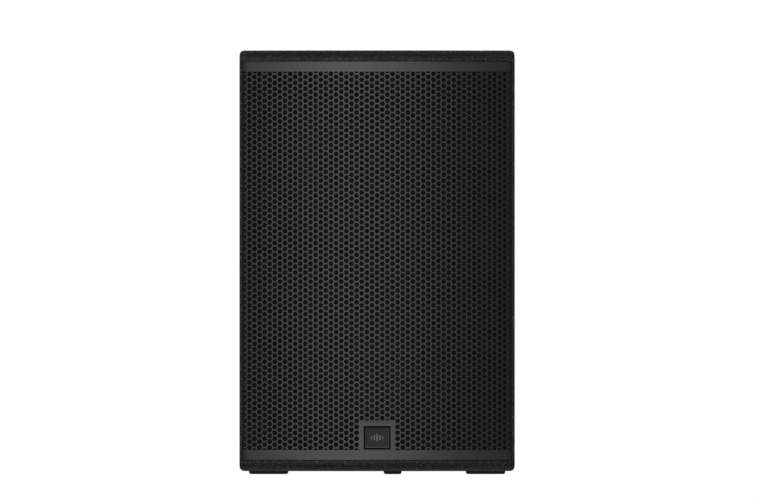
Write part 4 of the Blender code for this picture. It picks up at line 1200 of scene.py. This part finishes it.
def inlet():
    """The mains inlet: a six-sided well with three blades, on a flange held by two screws."""
    x, z = INLET_PLACE
    floor_y = FLANGE_FACE - 0.0165
    half, tall, slant = 0.0121, 0.00825, 0.0042
    well = [(x - half, z - tall), (x + half, z - tall), (x + half, z + tall - slant)]
    well += [(x + half - slant, z + tall), (x - half + slant, z + tall), (x - half, z + tall - slant)]
    body = prism(box_outline(0.0275, 0.0200, x, z), 0.1580, SEAT + 0.001, "Y")
    opening = prism(eased(well, 0.0015), floor_y, BEYOND, "Y")
    flange = slab(0.050, 0.0245, 0.004, x, z, SEAT, FLANGE_FACE, 0.0006)
    bm = combined(flange, (body, "UNION"), (opening, "DIFFERENCE"))
    finish_mesh("mains_inlet_well", bm, "black_plastic", replaces="mains_inlet", sharp=20)
    blades = []
    for dx, dz in ((-0.007, -0.002), (0.007, -0.002), (0.0, 0.002)):
        blades.append(slab(0.0020, 0.0055, 0.0004, x + dx, z + dz, floor_y - 0.001, floor_y + 0.0115, 0.0004))
    finish_mesh("mains_inlet_blades", merged(blades), "steel")
    places = [((x + s * 0.0200, FLANGE_FACE - 0.0001, z), BACKWARDS) for s in (-1, 1)]
    screws("screws_inlet", places, 0.0024, 0.0013, seed=4)


def power_switch():
    """A dished rocker in a frame. A bar and a ring are moulded on its two ends."""
    x, z = SWITCH_PLACE
    bezel = slab(0.0185, 0.0290, 0.002, x, z, SEAT, SEAT + 0.0015, 0.0005)
    body = prism(box_outline(0.0140, 0.0240, x, z), 0.1650, SEAT + 0.001, "Y")
    opening = prism(round_outline(0.0116, 0.0214, 0.0006, x, z), SEAT - 0.0080, BEYOND, "Y")
    bm = combined(bezel, (body, "UNION"), (opening, "DIFFERENCE"))
    node = "power_switch_frame"
    finish_mesh(node + "_bezel", bm, "black_plastic", replaces=node, sharp=20)
    half, rise, dip, steps = 0.0095, 0.0023, 0.0022, 16
    profile = []
    for i in range(steps + 1):
        along = 1 - 2 * i / steps
        profile.append((dip + rise * along * along, half * along))
    profile += [(-0.0005, -half), (-0.0045, -0.0035), (-0.0045, 0.0035), (-0.0005, half)]
    layers = []
    for across, share in ((-0.0054, 0.95), (-0.0050, 1.0), (0.0050, 1.0), (0.0054, 0.95)):
        layers.append(([(py * share, pz * share) for py, pz in profile], across))
    place = Matrix.Translation((x, SEAT, z)) @ Matrix.Rotation(-SWITCH_TILT, 4, "X")
    bm = stacked(layers, "X")
    bm.transform(place)
    node = "power_switch_rocker"
    finish_mesh(node + "_dished", bm, "black_plastic", "power_rocker", node, sharp=20)
    low, high = -0.0002, 0.0001
    bar = prism(box_outline(0.0007, 0.0032), low, high, "Y")
    ring = [(0.0018, low), (0.0018, high), (0.0013, high), (0.0013, low)]
    ring = stacked([(circle_outline(r, steps=32), y) for r, y in ring], "Y", capped=False)
    marks = []
    for mark, along in ((bar, 0.55), (ring, -0.55)):
        slope = 2 * rise * along / half
        tangent = Matrix.Rotation(-math.atan(slope), 4, "X")
        marks.append(moved(mark, 0, dip + rise * along * along, half * along, tangent))
    bm = merged(marks)
    bm.transform(place)
    finish_mesh(node + "_marks", bm, "white_ink", "power_rocker")


def buttons():
    for number, x in enumerate(BUTTON_X, 1):
        profile = [(0.0, 0.0023), (0.0020, 0.0024), (0.0032, 0.0028), (0.0038, 0.0026), (0.0041, 0.0021)]
        profile += [(0.0041, -0.0160), (0.0, -0.0160)]
        node = f"button_{number}"
        cap = at_back(turned(profile, 48), x, KNOB_Z)
        finish_mesh(node + "_cap", cap, "black_plastic", node, node, sharp=32)
        collar = eased([(0.0047, 0.00005), (0.0064, 0.00005), (0.0064, 0.0008), (0.0047, 0.0008)], 0.0003)
        ring = at_back(turned(collar, 64), x, KNOB_Z)
        finish_mesh(node + "_collar", ring, "black_screw")


def heat_sink():
    """A finned extrusion with round fin tips and round corners under them."""
    low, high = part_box("heat_sink")
    fins, base, fin, tip, hollow = 19, 0.0040, 0.0022, 0.0009, 0.0008
    pitch = (high.x - low.x - fin) / (fins - 1)
    outline = [(low.x, low.y), (high.x, low.y)]
    for i in reversed(range(fins)):
        left = low.x + i * pitch
        right = left + fin
        if i < fins - 1:
            outline += arc((right + hollow, low.y + base + hollow), hollow, -math.pi / 2, -math.pi, 3)
        outline += arc((right - tip, high.y - tip), tip, 0, math.pi / 2, 3)
        outline += arc((left + tip, high.y - tip), tip, math.pi / 2, math.pi, 3)
        if i:
            outline += arc((left - hollow, low.y + base + hollow), hollow, 0, -math.pi / 2, 3)
    bm = prism(outline, low.z, high.z)
    finish_mesh("heat_sink_extrusion", bm, "panel_metal", replaces="heat_sink", sharp=40)
    places = []
    for side in (-1, 1):
        for z in (low.z + 0.020, high.z - 0.020):
            places.append(((side * 0.0500 + 0.00008, low.y + base, z), BACKWARDS))
    screws("screws_heat_sink", places, 0.0030, 0.0018, "steel", seed=5)


def circuit_boards():
    """The two boards in the tray, and the ring-wound transformer."""
    board = slab(0.210, 0.150, 0.002, 0, 0.240, 0.1500, 0.1516, 0.0002)
    finish_mesh("power_amp_board_sheet", board, "circuit_board", replaces="power_amp_board")
    under, spreader_z = 0.1499, 0.285  # the board's front face, where its parts stand
    bars = []
    for dz in (-0.0082, 0.0, 0.0082):
        bars.append(slab(0.150, 0.0055, 0.0005, 0, spreader_z + dz, 0.125, under, 0.0003))
    bars.append(prism(box_outline(0.150, 0.022, 0, spreader_z), 0.1440, under, "Y"))
    finish_mesh("power_amp_board_spreader", merged(bars), "magnet_steel")
    cans = []
    for x in (-0.070, -0.030):
        profile = eased([(0.0, 0.0), (0.015, 0.0), (0.015, 0.0449), (0.0, 0.0449)], 0.0016)
        cans.append(moved(turned(profile, 48), x, under, 0.215, FACING))
    finish_mesh("power_amp_board_capacitors", merged(cans), "black_plastic")
    core = prism(eased(box_outline(0.050, 0.040, 0.060, 0.215), 0.003), 0.115, under, "Y")
    window = prism(box_outline(0.034, 0.060, 0.060, 0.215), 0.110, 0.122, "Y")
    finish_mesh("power_amp_board_choke", cut(core, window), "ferrite")
    board = slab(0.210, 0.190, 0.002, 0, JACK_Z, 0.1480, 0.1496, 0.0002)
    finish_mesh("input_board_sheet", board, "circuit_board", replaces="input_board")
    cases = [slab(0.014, 0.014, 0.0008, x, KNOB_Z, 0.1497, 0.1600, 0.0005) for x in (-KNOB_X, KNOB_X)]
    cases += [slab(0.010, 0.010, 0.0008, x, KNOB_Z, 0.1497, 0.1608, 0.0005) for x in BUTTON_X]
    finish_mesh("input_board_controls", merged(cases), "black_plastic")
    tube, radius, steps = 0.0148, 0.0270, 28
    angles = [2 * math.pi * i / steps for i in range(steps)]
    profile = [(radius + tube * math.cos(a), tube * 1.1 * math.sin(a)) for a in angles]
    coil = turned(profile, 216, lambda angle, r, z: r + 0.00025 * math.cos(angle * 54))
    coil = moved(coil, 0.060, 0.1035, 0.470, FACING)
    finish_mesh("transformer_winding", coil, "copper", replaces="transformer")


LEAD_RADIUS = 0.0025


def lead(node, points):
    """A round lead on a smooth curve through a few points."""
    stops = [Vector(p) for p in points]
    padded = [stops[0] * 2 - stops[1], *stops, stops[-1] * 2 - stops[-2]]
    line, steps = [], 16
    for before, start, end, after in zip(padded, padded[1:], padded[2:], padded[3:]):
        for i in range(steps):
            t = i / steps
            bend = (end - before) * t + (before * 2 - start * 5 + end * 4 - after) * t * t
            line.append(start + (bend + (start * 3 - before - end * 3 + after) * t**3) / 2)
    line.append(stops[-1])
    rings = []
    side = Vector((1, 0, 0))
    sides = 20
    angles = [2 * math.pi * i / sides for i in range(sides)]
    for i, centre in enumerate(line):
        along = (line[min(i + 1, len(line) - 1)] - line[max(i - 1, 0)]).normalized()
        side = (side - along * side.dot(along)).normalized()
        up = along.cross(side)
        rings.append([centre + (side * math.cos(a) + up * math.sin(a)) * LEAD_RADIUS for a in angles])
    finish_mesh(node + "_round", lofted(rings), "cable", replaces=node)


def leads():
    cover = 0.0838
    middle = [(-0.080, 0.055, 0.325), (-0.115, -0.010, 0.300), (-0.118, -0.060, 0.285)]
    lead("woofer_cable", [(-0.080, cover, 0.330), *middle, (-0.108, -0.0795, 0.272)])
    middle = [(0.030, 0.060, 0.510), (0.020, 0.035, 0.535), (0.015, 0.010, 0.545)]
    lead("hf_cable", [(0.030, cover, 0.500), *middle, (0.015, -0.0117, 0.548)])


# ---- Drivers ------------------------------------------------------------------------------------

ROUND = 144  # steps round a driver
CONE_EDGE, CONE_NECK, CONE_DEPTH = 0.1495, 0.0525, 0.0600


def on_baffle(bm, z):
    return moved(bm, 0, BAFFLE_Y, z, FACING)


def ring_piece(node, profile, material, z=WOOFER_Z, body="cabinet"):
    bm = on_baffle(turned(profile, ROUND), z)
    finish_mesh(node + "_fine", bm, material, body, node, sharp=32)


def cone_line(radius):
    """The height of the cone's front face at a radius."""
    share = (CONE_EDGE - radius) / (CONE_EDGE - CONE_NECK)
    return -0.0020 - CONE_DEPTH * (1.12 * share - 0.12 * share * share)


def woofer():
    moving = "woofer_diaphragm"
    steps, rib = 24, 0.00012
    radii = [CONE_NECK + (CONE_EDGE - CONE_NECK) * i / steps for i in range(steps + 1)]
    front = [(r, cone_line(r) - rib * (i % 2)) for i, r in enumerate(radii)]
    back = [(r, cone_line(r) - 0.0016) for r in reversed(radii)]
    ring_piece("woofer_cone", front + back, "cone_paper", body=moving)
    rim, rise, base = 0.0600, 0.0200, cone_line(0.0600) + 0.0007
    angles = [math.pi / 2 * i / 12 for i in range(12)]
    outer = [(rim * math.cos(a), base + rise * math.sin(a)) for a in angles] + [(0.0, base + rise)]
    inner = [((rim - 0.0012) * math.cos(a), base + (rise - 0.0008) * math.sin(a)) for a in angles]
    inner.append((0.0, base + rise - 0.0008))
    ring_piece("woofer_dust_cap", outer + inner[::-1], "cone_paper", body=moving)
    profile = [(0.0500, -0.0605), (0.0512, -0.0605), (0.0512, -0.0880), (0.0518, -0.0880)]
    profile += [(0.0518, -0.1090), (0.0500, -0.1090)]
    ring_piece("woofer_voice_coil", profile, "coil", body=moving)
    gasket = [(0.1780, FIT), (0.1920, FIT), (0.1920, 0.0010), (0.1780, 0.0010)]
    ring_piece("woofer_gasket", eased(gasket, 0.0003), "rubber")
    woofer_basket()
    motor()
    places, reach = [], 0.1850
    for i in range(8):
        angle = math.radians(45 * i + 22.5)
        seat = (reach * math.cos(angle), BAFFLE_Y - 0.0074, WOOFER_Z + reach * math.sin(angle))
        places.append((seat, FORWARDS))
    screws("screws_woofer", places, 0.0048, 0.0026, seed=6)


def woofer_basket():
    """The cast frame: its flange, eight arms with round windows between them, and the magnet's seat."""
    profile = [(0.1925, 0.0013), (0.1925, 0.0075), (0.1720, 0.0075), (0.1720, 0.0040), (0.1640, 0.0040)]
    profile += [(0.1640, 0.0010), (0.1700, -0.0040), (0.1700, -0.0120), (0.1080, -0.0680), (0.0940, -0.0680)]
    profile += [(0.0940, -0.0840), (0.0560, -0.0840), (0.0560, -0.0900), (0.0920, -0.0900), (0.1100, -0.0760)]
    profile += [(0.1755, -0.0150), (0.1755, 0.0013)]
    window = eased([(0.116, -0.034), (0.163, -0.050), (0.163, 0.050), (0.116, 0.034)], 0.010, 6)
    windows = []
    for i in range(8):
        cutter = prism(window, -0.12, -0.014)
        cutter.transform(Matrix.Rotation(math.radians(45 * i + 22.5), 4, "Z"))
        windows.append(cutter)
    bm = on_baffle(cut(turned(eased(profile, 0.0012), ROUND), merged(windows)), WOOFER_Z)
    finish_mesh("woofer_basket_cast", bm, "basket_metal", replaces="woofer_basket")


def motor():
    """Top plate, ferrite ring, and back plate with the vented pole."""
    top_z, ring_z, back_z = -0.0903, -0.1003, -0.1233
    top = [(0.0530, top_z), (0.0880, top_z), (0.0880, top_z - 0.0097), (0.0530, top_z - 0.0097)]
    ring_piece("woofer_top_plate", eased(top, 0.0008), "magnet_steel")
    ring = [(0.0600, ring_z), (0.0950, ring_z), (0.0950, back_z + FIT), (0.0600, back_z + FIT)]
    ring_piece("woofer_magnet", eased(ring, 0.0020), "ferrite")
    pole = [(0.0180, top_z - 0.001), (0.0485, top_z - 0.001), (0.0485, back_z), (0.0860, back_z)]
    pole += [(0.0860, back_z - 0.0090), (0.0830, back_z - 0.0120), (0.0180, back_z - 0.0120)]
    ring_piece("woofer_back_plate", eased(pole, 0.0012), "magnet_steel")


def superellipse(half_width, half_height, power):
    points, count = [], 112
    for i in range(count):
        angle = 2 * math.pi * i / count
        c, s = math.cos(angle), math.sin(angle)
        x = half_width * math.copysign(abs(c) ** (2 / power), c)
        points.append((x, half_height * math.copysign(abs(s) ** (2 / power), s)))
    return points


def horn():
    """The waveguide, from a wide mouth to a round throat, and its screws."""
    depth, wall, throat, steps, front = 0.095, 0.0035, 0.0180, 24, 0.0058

    def section(share, extra):
        width = throat + (0.1320 - throat) * (1 - share) ** 0.80
        height = throat + (0.0720 - throat) * (1 - share) ** 1.35
        return superellipse(width + extra, height + extra, 2 + 5 * (1 - share) ** 1.5)

    flange, disc = superellipse(0.1500, 0.0900, 12), superellipse(0.0400, 0.0400, 2)
    down = reversed(range(steps + 1))
    rings = [(section(i / steps, 0.0), front - (depth + front) * i / steps) for i in down]
    rings += [(superellipse(0.1492, 0.0892, 12), front - 0.0006), (flange, front - 0.0014), (flange, FIT)]
    rings += [(section(i / steps, wall), -depth * i / steps if i else FIT) for i in range(steps)]
    rings += [(section(1.0, wall), -depth + 0.006), (disc, -depth + 0.006), (disc, -depth)]
    bm = on_baffle(stacked(rings, capped=False), HORN_Z)
    finish_mesh("horn_moulded", bm, "black_plastic", replaces="horn")
    seats = [(sx * 0.1390, sz * 0.0800) for sx in (-1, 1) for sz in (-1, 1)]
    seats += [(-0.1425, 0.0), (0.1425, 0.0), (0.0, -0.0820), (0.0, 0.0820)]
    places = [((x, BAFFLE_Y - front + 0.0009, HORN_Z + z), FORWARDS) for x, z in seats]
    screws("screws_horn", places, 0.0042, 0.0024, seed=10)


def compression_driver():
    """Magnet body with its throat, its rear cap, and the dome that moves between them."""
    front = -0.0953
    body = [(0.0178, front), (0.0400, front), (0.0400, front - 0.006), (0.0560, front - 0.009)]
    body += [(0.0580, front - 0.011), (0.0580, front - 0.031), (0.0560, front - 0.033)]
    body += [(0.0320, front - 0.033), (0.0320, front - 0.030), (0.0230, front - 0.030)]
    ring_piece("compression_driver", eased(body, 0.0008), "magnet_steel", z=HORN_Z)
    back = front - 0.033 - FIT
    cap = [(0.0480, back), (0.0480, back - 0.010), (0.0440, back - 0.017), (0.0, back - 0.019)]
    cap += [(0.0, back - 0.016), (0.0400, back - 0.0145), (0.0440, back - 0.009), (0.0440, back)]
    ring_piece("compression_driver_cap", eased(cap, 0.0020), "black_plastic", z=HORN_Z)
    rim, rise, thick, steps, base = 0.0220, 0.0080, 0.0005, 14, front - 0.0312
    angles = [math.pi / 2 * i / steps for i in range(1, steps)]
    behind = [(rim * math.cos(a), base - rise * math.sin(a)) for a in angles] + [(0.0, base - rise)]
    ahead = [((rim - 0.0006) * math.cos(a), base + (thick - rise) * math.sin(a)) for a in angles]
    ahead = [(rim - 0.0006, base), *ahead, (0.0, base + thick - rise)]
    edge = [(0.0310, base), (0.0310, base - thick), (rim, base - thick)]
    ring_piece("hf_diaphragm", edge + behind + ahead[::-1], "titanium", z=HORN_Z, body="hf_dome")


def ports():
    length, radius, flare = 0.118, 0.036, 0.0045
    inside = radius - 0.003
    for side, node in ((1, "port_tube_right"), (-1, "port_tube_left")):
        profile = [(radius, -length), (radius, FIT), (0.0410, FIT), (0.0410, 0.0014), (0.0404, 0.0020)]
        profile += arc((inside + flare, 0.0035 - flare), flare, math.pi / 2, math.pi, 10)
        profile.append((inside, -length))
        bm = moved(turned(profile, 96), side * 0.146, BAFFLE_Y, 0.068, FACING)
        finish_mesh(node + "_moulded", bm, "black_plastic", replaces=node)


def pleats(node, radii, heights, thick, sectors):
    """A pleated cloth ring in equal sectors, each a piece of its own, attached to no body."""
    per = ROUND // sectors
    upper = [(r, h + thick) for r, h in zip(radii, heights)]
    lower = list(zip(radii, heights))[::-1]
    for sector in range(sectors):
        bm = bmesh.new()
        rows = []
        for i in range(per + 1):
            angle = 2 * math.pi * (sector * per + i) / ROUND
            ring = [(r * math.cos(angle), r * math.sin(angle), h) for r, h in upper + lower]
            rows.append([bm.verts.new(point) for point in ring])
        for a, b in zip(rows, rows[1:]):
            bridge(bm, a, b)
        bm.faces.new(rows[0])
        bm.faces.new(rows[-1][::-1])
        on_baffle(bm, WOOFER_Z)
        piece = finish_mesh(f"{node}_{sector + 1}", bm, "cloth", body=None, sharp=50)
        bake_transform(piece)
        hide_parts(node)


def soft_rings():
    steps, first, rise = 30, 0.0010, 0.0034
    radii = [0.1460, 0.1503] + [0.1503 + 0.0130 * i / steps for i in range(1, steps + 1)] + [0.1715]
    heights = [-0.0014, first]
    for i in range(1, steps + 1):
        share = i / steps
        fold = math.sin(share * math.pi * 2.5) ** 2 * (1 - share) ** 0.3
        heights.append(first + rise * share + 0.0028 * fold)
    heights.append(first + rise)
    pleats("woofer_surround", radii, heights, 0.0010, 16)
    steps, flat = 36, -0.0700
    radii = [0.0525] + [0.0540 + 0.0360 * i / steps for i in range(steps + 1)] + [0.0935]
    waves = [flat + 0.0011 * (1 - math.cos(i / steps * math.pi * 14)) for i in range(steps + 1)]
    pleats("woofer_spider", radii, [flat, *waves, flat], 0.0006, 12)


def batting():
    """Loose pads in place of the plain blocks."""
    for number, node in enumerate(("damping_top", "damping_right", "damping_left")):
        rng = random.Random(20 + number)
        longest, uneven = 0.016, 0.0025
        bm = bmesh.new()
        bm.from_mesh(frame["nodes"][node].data)
        bmesh.ops.remove_doubles(bm, verts=bm.verts, dist=1e-5)
        bmesh.ops.dissolve_limit(bm, angle_limit=0.02, verts=bm.verts, edges=bm.edges)
        bmesh.ops.triangulate(bm, faces=bm.faces)
        for _ in range(40):
            long = [e for e in bm.edges if e.calc_length() > longest]
            if not long:
                break
            bmesh.ops.subdivide_edges(bm, edges=long, cuts=1)
            bmesh.ops.triangulate(bm, faces=[f for f in bm.faces if len(f.verts) > 3])
        low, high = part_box(node)
        middle = (low + high) / 2
        axes = {f"use_axis_{axis}": True for axis in "xyz"}
        for _ in range(2):
            bmesh.ops.smooth_vert(bm, verts=bm.verts, factor=0.5, **axes)
        for vertex in bm.verts:
            vertex.co += (middle - vertex.co).normalized() * rng.uniform(0.0, uneven)
        piece = finish_mesh(node + "_pad", bm, "batting", replaces=node, sharp=180)


# ---- Stage --------------------------------------------------------------------------------------


def emissive(name, colour, strength, share):
    """A pale surface that mostly glows, so that it stays even, and takes little of the light and shade.

    share is the glow's part of it."""
    material = bpy.data.materials.new(name)
    material.use_nodes = True
    tree = material.node_tree
    tree.nodes.clear()
    kinds = ("OutputMaterial", "MixShader", "BsdfDiffuse", "Emission")
    output, mix, diffuse, glow = [tree.nodes.new("ShaderNode" + kind) for kind in kinds]
    mix.inputs["Fac"].default_value = share
    diffuse.inputs["Color"].default_value = (*colour, 1)
    glow.inputs["Color"].default_value = (*colour, 1)
    glow.inputs["Strength"].default_value = strength
    tree.links.new(diffuse.outputs[0], mix.inputs[1])
    tree.links.new(glow.outputs[0], mix.inputs[2])
    tree.links.new(mix.outputs[0], output.inputs[0])
    return material


def softbox(name, place, aim, size, watts):
    light = bpy.data.lights.new(name, "AREA")
    light.shape = "RECTANGLE"
    light.size, light.size_y = size
    light.energy = watts
    obj = bpy.data.objects.new(name, light)
    obj.location = place
    obj.rotation_euler = (Vector(aim) - Vector(place)).to_track_quat("-Z", "Y").to_euler()
    obj.visible_camera = False
    bpy.context.scene.collection.objects.link(obj)


def stage():
    bm = bmesh.new()
    bmesh.ops.create_circle(bm, cap_ends=True, radius=110, segments=96)
    mesh = bpy.data.meshes.new("floor")
    bm.to_mesh(mesh)
    bm.free()
    floor = bpy.data.objects.new("floor", mesh)
    bpy.context.scene.collection.objects.link(floor)
    floor.visible_diffuse = False
    floor.visible_glossy = False
    floor.visible_shadow = False
    floor.data.materials.append(emissive("floor", (1.0, 1.0, 1.0), 1.04, 0.96))

    # the room is white to look at, and a dim grey to the light that it sends onto the object
    world = bpy.data.worlds.new("studio")
    bpy.context.scene.world = world
    world.use_nodes = True
    tree = world.node_tree
    dim = tree.nodes["Background"]
    dim.inputs["Color"].default_value = (0.125, 0.125, 0.125, 1)
    white = tree.nodes.new("ShaderNodeBackground")
    white.inputs["Color"].default_value = (1, 1, 1, 1)
    seen = tree.nodes.new("ShaderNodeLightPath").outputs["Is Camera Ray"]
    mix = tree.nodes.new("ShaderNodeMixShader")
    tree.links.new(seen, mix.inputs["Fac"])
    tree.links.new(dim.outputs[0], mix.inputs[1])
    tree.links.new(white.outputs[0], mix.inputs[2])
    tree.links.new(mix.outputs[0], tree.nodes["World Output"].inputs["Surface"])

    target = (0, 0, 0.335)
    softbox("key", (-1.70, -20.0, 3.3), target, (7.6, 8.6), 1125)
    softbox("top", (-0.2, 0.8, 3.4), target, (2.4, 2.0), 7)
    softbox("behind", (0.0, 5.5, 3.4), target, (6.0, 3.0), 18)
    softbox("below", (0.0, 0.8, -3.2), target, (4.0, 3.5), 17)
    softbox("left", (-4.6, -1.7, 0.8), target, (1.2, 2.6), 20)
    softbox("right", (4.6, -1.7, 0.8), target, (1.2, 2.6), 3)
    softbox("left_rear", (-3.4, 2.2, 1.5), target, (1.6, 2.2), 70)
    softbox("right_rear", (3.2, 2.8, 1.7), target, (1.4, 2.2), 80)
    softbox("back", (0.5, 4.6, 1.0), target, (1.6, 1.8), 90)


def camera():
    """Straight on from far in front, with a long lens."""
    distance, view_width, sensor = 30.0, 1.1957, 36.0
    aim_x, aim_z = 0.0069, 0.3511
    lens = bpy.data.cameras.new("camera")
    lens.sensor_width = sensor
    lens.lens = sensor * distance / view_width
    lens.clip_end = 400
    obj = bpy.data.objects.new("camera", lens)
    obj.location = (aim_x, FRONT_Y - distance, aim_z)
    obj.rotation_euler = (math.pi / 2, 0, 0)
    bpy.context.scene.collection.objects.link(obj)
    bpy.context.scene.camera = obj
    bpy.context.scene.view_settings.view_transform = "Standard"


make_materials()
camera()
stage()
dress_frame()
panels()
grille()
foam()
badge()
foot_screws = []
for foot_node in ("foot_front_left", "foot_front_right", "foot_rear_left", "foot_rear_right"):
    foot_screws += foot(foot_node, 0.0080)
foot_screws += foot("foot_front_middle", 0.0140)
screws("screws_feet", foot_screws, 0.0036, 0.0016, seed=7)
screws("screws_pole_socket", pole_socket(), 0.0034, 0.0018, seed=8)
fly_points()
handle_screws = handle(1, "handle_right") + handle(-1, "handle_left")
screws("screws_handles", handle_screws, 0.0040, 0.0022, seed=9)
for build in (amp_plate, lamps, markings, knobs, buttons, jacks, latches, inlet, power_switch):
    build()
for build in (heat_sink, circuit_boards, leads):
    build()
for build in (woofer, horn, compression_driver, ports, soft_rings, batting):
    build()
